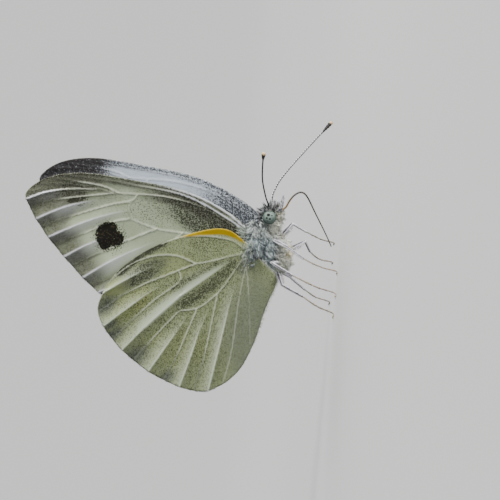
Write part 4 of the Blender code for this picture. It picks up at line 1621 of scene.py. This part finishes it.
# %% Feelers
ANTENNAE = {
    "left": [(4.75, 0.36, 7.85), (5.45, 0.45, 7.6), (6.5, 0.8, 7.4), (8.2, 1.5, 6.5), (11.2, 3.0, 4.0),
             (13.0, 3.85, 2.4), (14.1, 4.4, 1.45)],
    "right": [(4.75, -0.4, 7.85), (5.45, -0.55, 7.95), (6.4, -1.5, 8.3), (8.7, -4.0, 8.85),
              (10.8, -6.2, 9.05), (12.8, -8.7, 9.1)],
}
JOINTS = 40
SHAFT = 0.098             # radius of the shaft
CLUB = 0.235              # radius of the club
CLUB_START = 0.85         # how far along the shaft it starts to widen
TIP_START = 0.97          # and where its pale tip starts
SCAPE = 0.12              # radius of the stout first joint
SCAPE_END = 0.075         # how far along it reaches
RING_WHITE = {"left": 1.0, "right": 0.3}      # how white the rings of each feeler are


def antenna_paint(name, pale):
    """Ringed shaft and dark club; pale is how white the rings are."""
    paint = Paint(name, IOR=1.45)
    along = paint.kept("along")
    ring = paint.repeated(along, JOINTS)
    speck = paint.noise(paint.kept_place("root"), 9.0, 2.0)
    white = ring.between(0.42, 0.5) * (1 - ring.between(0.86, 0.93)) * (1 - along.between(0.84, 0.9))
    white = white * along.between(0.05, 0.1)
    side = 1 - paint.kept("under").between(-0.2, 0.2)
    colour = layered(
        mix(speck, tint(14, 11, 10), tint(34, 27, 22)),
        ((white * side * pale * (speck + 0.5)).clamped(), tint(238, 240, 248)),
        (along.between(TIP_START, TIP_START + 0.012), tint(206, 178, 132)),
    )
    return paint.set(Base_Color=colour, Roughness=0.5 + speck * 0.2, Normal=paint.bump(speck, 0.3, 0.00002))


for name, pale in RING_WHITE.items():
    shares, widths = jointed(JOINTS, 0.13)
    at = np.append(shares, 1.0)
    line = along_line(smooth_line(ANTENNAE[name], 10), at)
    club = ease(at, CLUB_START, 0.97) ** 0.8
    radii = np.append(widths, 1.0) * (SHAFT * (1.2 - 0.3 * ease(at, 0, 0.15)) + (CLUB - SHAFT) * club)
    radii *= np.sqrt(1 - np.clip((at - 0.984) / 0.0165, 0, 1) ** 2)
    base = along_line(line, np.linspace(0.0, SCAPE_END, 8))
    scape = tube(base, SCAPE * np.sin(np.linspace(0.35, 2.6, 8)), 12)
    scape = (*scape[:2], scape[2] * 0.02, scape[3])
    paint = antenna_paint("antenna_" + name, pale)
    mesh = limb_mesh("antenna_" + name + "_shaft", paint, [tube(line, radii, 12, 0.9), scape])
    add_piece("antenna_" + name + "_shaft", mesh, "feeler", ["antenna_" + name])

# %% [markdown]
# The tongue is two half-pipes zipped together, finely ringed like a hose. Here it arches forward and down to
# the floor's side. It is amber where it leaves the head and dark brown beyond. The palps beside it are slim,
# pale and hairy.

# %% Tongue and palps
TONGUE = [
    (4.75, 0.0, 6.35), (5.15, 0.0, 5.95), (5.8, 0.0, 5.65), (6.5, 0.0, 5.15), (6.88, 0.0, 4.45),
    (6.45, 0.0, 3.75), (4.65, 0.0, 2.7), (2.5, 0.0, 1.45), (1.0, 0.0, 0.65),
]
PALP = [(4.7, 0.5, 6.75), (5.25, 0.6, 6.5), (5.7, 0.62, 6.4), (6.2, 0.6, 6.3)]
TONGUE_RINGS = 110
TONGUE_THICK = 0.135      # half the tongue's thickness at the head
TONGUE_TAPER = 0.05       # and how much is lost toward the tip
PIPE_APART = 0.045        # of each half-pipe from the middle
PALP_THICK = 0.15         # radius of a palp at the head
PALP_TAPER = 0.1
PALP_TIP = 0.4            # its core has one place along a hair, and one luck, as its material asks for them
PALP_LUCK = 0.9


def tongue_paint():
    paint = Paint("tongue", IOR=1.5, Coat_Weight=0.2, Coat_Roughness=0.3)
    along = paint.kept("along")
    ring = paint.repeated(along, TONGUE_RINGS)
    speck = paint.noise(paint.kept_place("root"), 6.0, 2.0)
    colour = mix((along * 1.6 + speck * 0.3).between(0.15, 0.56), tint(134, 106, 60), tint(36, 30, 22))
    colour = mix(ring.between(0.5, 0.9) * 0.35, colour, tint(24, 18, 14))
    return paint.set(Base_Color=colour, Roughness=0.38 + speck * 0.2)


shares, widths = jointed(TONGUE_RINGS, 0.09, 3)
line = along_line(smooth_line(TONGUE, 10), shares)
radii = widths * (TONGUE_THICK - TONGUE_TAPER * ease(shares, 0.0, 0.9))
halves = [tube(line + np.array([0.0, side * PIPE_APART, 0.0]), radii * 0.8, 10) for side in (-1, 1)]
mesh = limb_mesh("proboscis_halves", tongue_paint(), halves)
add_piece("proboscis_halves", mesh, "tongue", ["proboscis"])


def palp_line(side):
    return smooth_line(np.array(PALP) * (1, side, 1), 8)


for name, side in SIDES:
    line = palp_line(side)
    share = np.linspace(0, 1, len(line))
    mesh = limb_mesh("palp_" + name + "_core", skin_material, [tube(line, PALP_THICK - PALP_TAPER * share)])
    count = len(mesh.vertices)
    keep_numbers(mesh, tip=np.full(count, PALP_TIP), luck=np.full(count, PALP_LUCK))
    add_piece("palp_" + name + "_core", mesh, "palp", ["palp_" + name])

# %% [markdown]
# A leg has a stout thigh, a thin shin and a foot of five short joints with two claws. All of it is coated in
# flat white scales, with a dark stripe along one side, and the foot is tan. The lines are those of the
# solids, and the last joints come down to the floor.

# %% Legs
LEGS = {
    # the thigh's root from above, then the knee, the ankle, the foot's first joint and the toe from above
    "front_left": [(1.4, 0.7), (2.9, 1.8, 5.1), (1.8, 2.8, 3.4), (0.8, 3.9, 1.6), (0.1, 4.8)],
    "front_right": [(1.6, -1.1), (1.1, -1.9, 5.6), (0.2, -3.2, 3.7), (-0.3, -4.2, 1.9), (-0.7, -5.2)],
    "middle_left": [(-0.2, 0.7), (0.9, 2.2, 3.5), (-0.5, 3.1, 2.8), (-1.5, 4.1, 1.7), (-2.2, 5.0)],
    "middle_right": [(-0.8, -1.15), (-0.6, -2.65, 7.2), (-1.6, -3.8, 4.8), (-2.4, -4.9, 2.2), (-3.1, -5.9)],
    "hind_left": [(-2.1, 0.8), (-3.3, 1.9, 4.8), (-4.9, 3.0, 3.0), (-5.8, 3.7, 1.8), (-6.8, 4.6)],
    "hind_right": [(-2.0, -0.8), (-3.1, -2.35, 5.9), (-4.0, -3.4, 3.5), (-4.8, -4.1, 1.9), (-5.7, -4.9)],
}
THIGH = 0.19              # radii of the three parts
SHIN = 0.13
FOOT = 0.092
HEEL_UP = 0.22            # heights of the middle of the foot over the floor
TOE_UP = 0.15
FOOT_JOINTS = [0.0, 0.42, 0.6, 0.74, 0.86, 1.0]     # where the foot's joints lie along it
LEG_SCALES = 9.0          # scales in a millimetre
FIRST_FOOT = 2            # a leg's parts are numbered: thigh, shin, five joints of the foot, two claws
FIRST_CLAW = 7


def leg_paint():
    paint = Paint("leg", IOR=1.4, Sheen_Weight=0.2)
    place = paint.kept_place("root")
    chance = paint.chance(place, LEG_SCALES)
    kind = paint.kept("kind")
    stripe = paint.kept("stripe")
    cloud = paint.noise(place, 2.5, 2.0)
    dark = (stripe * stripe + cloud * 0.5 - 0.25).between(0.64, 0.8)
    foot = mix((chance * 0.6 + cloud * 0.5).clamped(), tint(84, 74, 68), tint(164, 148, 124))
    colour = layered(
        mix(chance, tint(206, 204, 216), tint(242, 242, 248)),
        (dark * 0.92, tint(46, 36, 46)),
        (kind > FIRST_FOOT - 0.5, foot),
        (kind > FIRST_CLAW - 0.5, tint(46, 32, 26)),
    )
    edges = paint.grains(place, LEG_SCALES, output=0)
    bump = paint.bump(edges * -1.0, 0.4, 0.00003)
    return paint.set(Base_Color=colour, Roughness=0.55 + chance * 0.2, Normal=bump)


def leg_start(x, y):
    """A thigh's root, inside the wool under the thorax."""
    over = skin_points[np.hypot(skin_points[:, 0] - x, skin_points[:, 1] - y) < 0.25]
    return np.array([x, y, over[:, 2].min() + 0.25])


def heel_of(tarsus, toe):
    """Where the foot comes down to the floor."""
    return np.array([*(np.array(tarsus[:2]) * 0.45 + np.array(toe) * 0.55), HEEL_UP])


def leg_parts(start, knee, ankle, tarsus, toe):
    """Thigh, shin, the five joints of the foot and two claws, as tubes."""
    start = leg_start(*start)
    heel = heel_of(tarsus, toe)
    toe = np.array([*toe, TOE_UP])
    share = np.linspace(0, 1, 17)
    belly = np.sin(share * math.pi)
    shin = SHIN * (0.95 + 0.25 * (1 - share) * belly)
    parts = [tube(along_line(np.array([start, knee]), share), THIGH * (0.72 + 0.4 * belly), 12, 0.7),
             tube(along_line(np.array([knee, ankle]), share), shin, 12, 0.85)]
    foot = smooth_line([ankle, tarsus, heel, toe], 8)
    for begin, end in zip(FOOT_JOINTS, FOOT_JOINTS[1:]):
        share = np.linspace(0, 1, 8)
        widths = FOOT * (0.72 + 0.42 * share ** 2 - 0.35 * ease(share, 0.9, 1.0))
        parts.append(tube(along_line(foot, begin + (end - begin) * share), widths, 10, 0.85))
    ahead = unit(toe - heel)
    aside = unit(np.cross(ahead, (0, 0, 1)))
    for side in (-1, 1):
        bend = toe + ahead * 0.12 + aside * side * 0.09
        point = toe + ahead * 0.2 + aside * side * 0.12 + (0, 0, -0.07)
        hook = smooth_line([toe, bend, point], 4)
        parts.append(tube(hook, np.linspace(0.03, 0.006, len(hook)), 6))
    return parts


leg_material = leg_paint()
for name, points in LEGS.items():
    mesh = limb_mesh("leg_" + name + "_scaled", leg_material, leg_parts(*points))
    add_piece("leg_" + name + "_scaled", mesh, "leg", ["leg_" + name])

# %% [markdown]
# Palps and legs carry hairs of their own. The palps bristle forward on all sides. The thighs have a soft
# white fringe below, and the shins and feet short dark spines that point to the toes. They are the same
# blades again, set along the lines of the limbs.

# %% Hairs on palps and legs
PALP_HAIRS = 420          # hairs on each palp
THIGH_HAIRS = 150         # hairs below each thigh
FOOT_SPINES = 70          # spines on each shin and foot


def hair_paint(name, low, high, rough):
    """Hairs whose colour lies between two tints, by chance."""
    paint = Paint(name, IOR=1.4, Sheen_Weight=0.2)
    luck = paint.kept("luck")
    tip = paint.kept("tip")
    colour = mix(luck, low, high)
    # Toward the root each hair is painted darker: painted shade where the hairs crowd together.
    colour = mix((1 - tip.between(0.0, 0.4)) * 0.35, colour, tint(60, 60, 62))
    return paint.set(Base_Color=colour, Roughness=rough - luck * 0.12)


def along_limb(line, count, begin=0.0, end=1.0):
    """Places along a line with the way ahead there, and how far along each is."""
    share = np.sort(rng.uniform(begin, end, count))
    ahead = unit(along_line(line, np.minimum(share + 0.02, 1.0)) - along_line(line, share - 0.02))
    return along_line(line, share), ahead, share


white_hair = hair_paint("white_hairs", tint(150, 151, 156), tint(236, 235, 236), 0.75)
palp_hair = hair_paint("palp_hairs", tint(88, 86, 96), tint(196, 194, 206), 0.7)
dark_hair = hair_paint("dark_spines", tint(34, 28, 26), tint(96, 84, 78), 0.55)


def any_way(directions):
    """Unit vectors square to the given ones, each turned by chance."""
    return unit(np.cross(directions, rng.normal(0, 1, directions.shape)))


for name, side in SIDES:
    places, ahead, share = along_limb(palp_line(side), PALP_HAIRS, 0.05, 0.97)
    around = any_way(ahead)
    roots = places + around * (0.13 - 0.09 * share)[:, None]
    lie = unit(ahead + around * rng.uniform(0.2, 0.8, (len(roots), 1)) * (1 - 0.6 * share)[:, None])
    lengths = rng.uniform(0.18, 0.42, len(roots)) * (1 - 0.35 * share)
    made = blades(roots, lie, around, lengths, rng.uniform(0.03, 0.05, len(roots)), 2, 0.0)
    layout = np.stack([share, rng.uniform(0.05, 0.95, len(roots))], 1)
    coat_piece("palp_" + name + "_hairs", made, roots, layout, palp_hair, "palp")


# %% Fringes below the thighs, and spines on shins and feet
fringes, spines = [], []
for start, knee, ankle, tarsus, toe in LEGS.values():
    places, ahead, share = along_limb(np.array([leg_start(*start), knee]), THIGH_HAIRS, 0.15, 0.98)
    down = unit(np.array([0.0, 0.0, -1.0]) - ahead * -ahead[:, 2:])
    lie = jitter(unit(down * 0.9 + ahead * 0.3), 0.22)
    lengths = rng.uniform(0.25, 0.6, len(places)) * np.sin(share * 2.6 + 0.3)
    fringes.append((places + down * THIGH * 0.7, lie, lengths, share))
    foot = np.array([knee, ankle, tarsus, heel_of(tarsus, toe)])
    places, ahead, share = along_limb(smooth_line(foot, 8), FOOT_SPINES, 0.05, 0.95)
    around = any_way(ahead)
    out = (SHIN - 0.05 * ease(share, 0.3, 0.6))[:, None] * 0.9
    lengths = rng.uniform(0.1, 0.2, len(places))
    spines.append((places + around * out, unit(ahead + around * 0.5), lengths, share))
LEG_HAIRS = {
    "leg_fringes": (fringes, white_hair, 0.04),
    "leg_spines": (spines, dark_hair, 0.028),
}
for name, (sets, paint, width) in LEG_HAIRS.items():
    roots, lie, lengths, share = (np.concatenate(part) for part in zip(*sets))
    made = blades(roots, lie, any_way(lie), lengths, width, 2, 0.0, 0.03)
    layout = np.stack([share, (np.arange(len(roots)) + 0.5) / len(roots)], 1)
    coat_piece(name, made, roots, layout, paint, "leg")

# %% [markdown]
# The margin of each wing ends in a fringe of narrow scales that stand out from it, one beside the other. It
# softens the outline, and where it is worn it looks ragged. Along the inner edge of the hindwing the
# scales become long soft hairs, and more hairs lie over the roots of the wings.

# %% Fringes and hairs of the wings
FRINGE_GAP = 0.028        # between the fringe's scales
FRINGE_WORN = 0.16        # share of them that are lost
WORN_TOGETHER = 14        # neighbours that are worn down alike


def hem_blades(held, reach):
    """Roots, lie and lengths of blades along the rim of a wing; reach is how long they are at a place."""
    line = closed_line(held.plan.rim)
    rim = spaced(line, FRINGE_GAP)[:-1]
    rim = rim + rng.normal(0, FRINGE_GAP * 0.3, rim.shape)
    ahead = unit(np.roll(rim, -1, axis=0) - np.roll(rim, 1, axis=0))
    outward = np.stack([ahead[:, 1], -ahead[:, 0]], 1)
    if inside(rim[:1] + outward[:1] * 0.4, held.plan.rim)[0]:
        outward = -outward
    groups = rng.uniform(0.35, 1.1, len(rim) // WORN_TOGETHER + 1)
    worn_down = np.repeat(groups, WORN_TOGETHER)[:len(rim)]
    lengths = reach(rim) * rng.uniform(0.6, 1.1, len(rim)) * worn_down
    kept = (lengths > 0.02) & (rng.uniform(0, 1, len(rim)) > FRINGE_WORN)
    rim, outward, ahead, lengths = (values[kept] for values in (rim, outward, ahead, lengths))
    outward = unit(outward + ahead * rng.normal(0, 0.3, (len(rim), 1)))
    closest = ((rim[:, None] - held.plan.points[None]) ** 2).sum(2).argmin(1)
    out = held.plan.pleat[closest] + rng.uniform(-0.03, 0.03, len(rim))
    base = held.at(rim - outward * 0.06, out)
    lie = unit(held.at(rim + outward * 0.2, out) - base)
    return base, lie, lengths, rim


def forewing_hem(rim):
    x, z = rim.T
    outer = ease(z - 0.75 * (x + 4.0), 22.0, 24.0)
    return 0.2 * outer * (1 - ease(x, 6.2, 7.0)) + 0.09 * (1 - outer)


def hindwing_hem(rim):
    x, z = rim.T
    inner = (1 - ease(z, 8.6, 10.2)) * ease(x, -12.0, -6.0)
    front = ease(x, -5.2, -4.2) * ease(z, 10.0, 10.6)
    return (0.19 + 0.3 * inner) * (1 - front)


root_hair = hair_paint("root_hairs", tint(112, 124, 112), tint(190, 201, 188), 0.75)
pale_scale = hair_paint("pale_fringe", tint(176, 180, 164), tint(232, 234, 226), 0.7)
for name, held in WINGS.items():
    base, lie, lengths, rim = hem_blades(held, hindwing_hem if held.outer else forewing_hem)
    lift = np.tile([0.0, held.side, 0.0], (len(base), 1))
    made = blades(base, lie, lift, lengths, rng.uniform(0.035, 0.06, len(base)), 2, 0.0, 0.02)
    coat_piece(name + "_fringe", made, base, layout_on(held.plan, rim), pale_scale, held.slot)


def root_hairs(held, middle, spread, heading, count, lengths):
    """Hairs that lie over the root of a wing, with their roots around a place on its plan."""
    flat = np.array(middle) + rng.normal(0, 1, (count, 2)) * spread
    base = held.at(flat, np.full(count, 0.1))
    end = held.at(flat + np.array(heading), np.full(count, 0.16))
    lie = jitter(unit(end - base), 0.16)
    lift = np.tile([0.0, held.side, 0.0], (count, 1))
    long = rng.uniform(*lengths, count)
    widths = rng.uniform(0.04, 0.065, count)
    made = blades(base, lie, lift, long, widths, 3, rng.uniform(-0.05, 0.2, count), 0.06)
    return made, base, layout_on(held.plan, flat)


# middle, spread, heading, how many and how long
FOREWING_ROOT = ((2.2, 10.4), (0.4, 0.3), (0.5, 1.0), 130, (0.3, 0.65))
HINDWING_ROOT = ((0.1, 9.75), (0.6, 0.3), (-0.8, 0.35), 260, (0.25, 0.6))
for name, held in WINGS.items():
    made, base, layout = root_hairs(held, *(HINDWING_ROOT if held.outer else FOREWING_ROOT))
    coat_piece(name + "_root_hairs", made, base, layout, root_hair, held.slot)
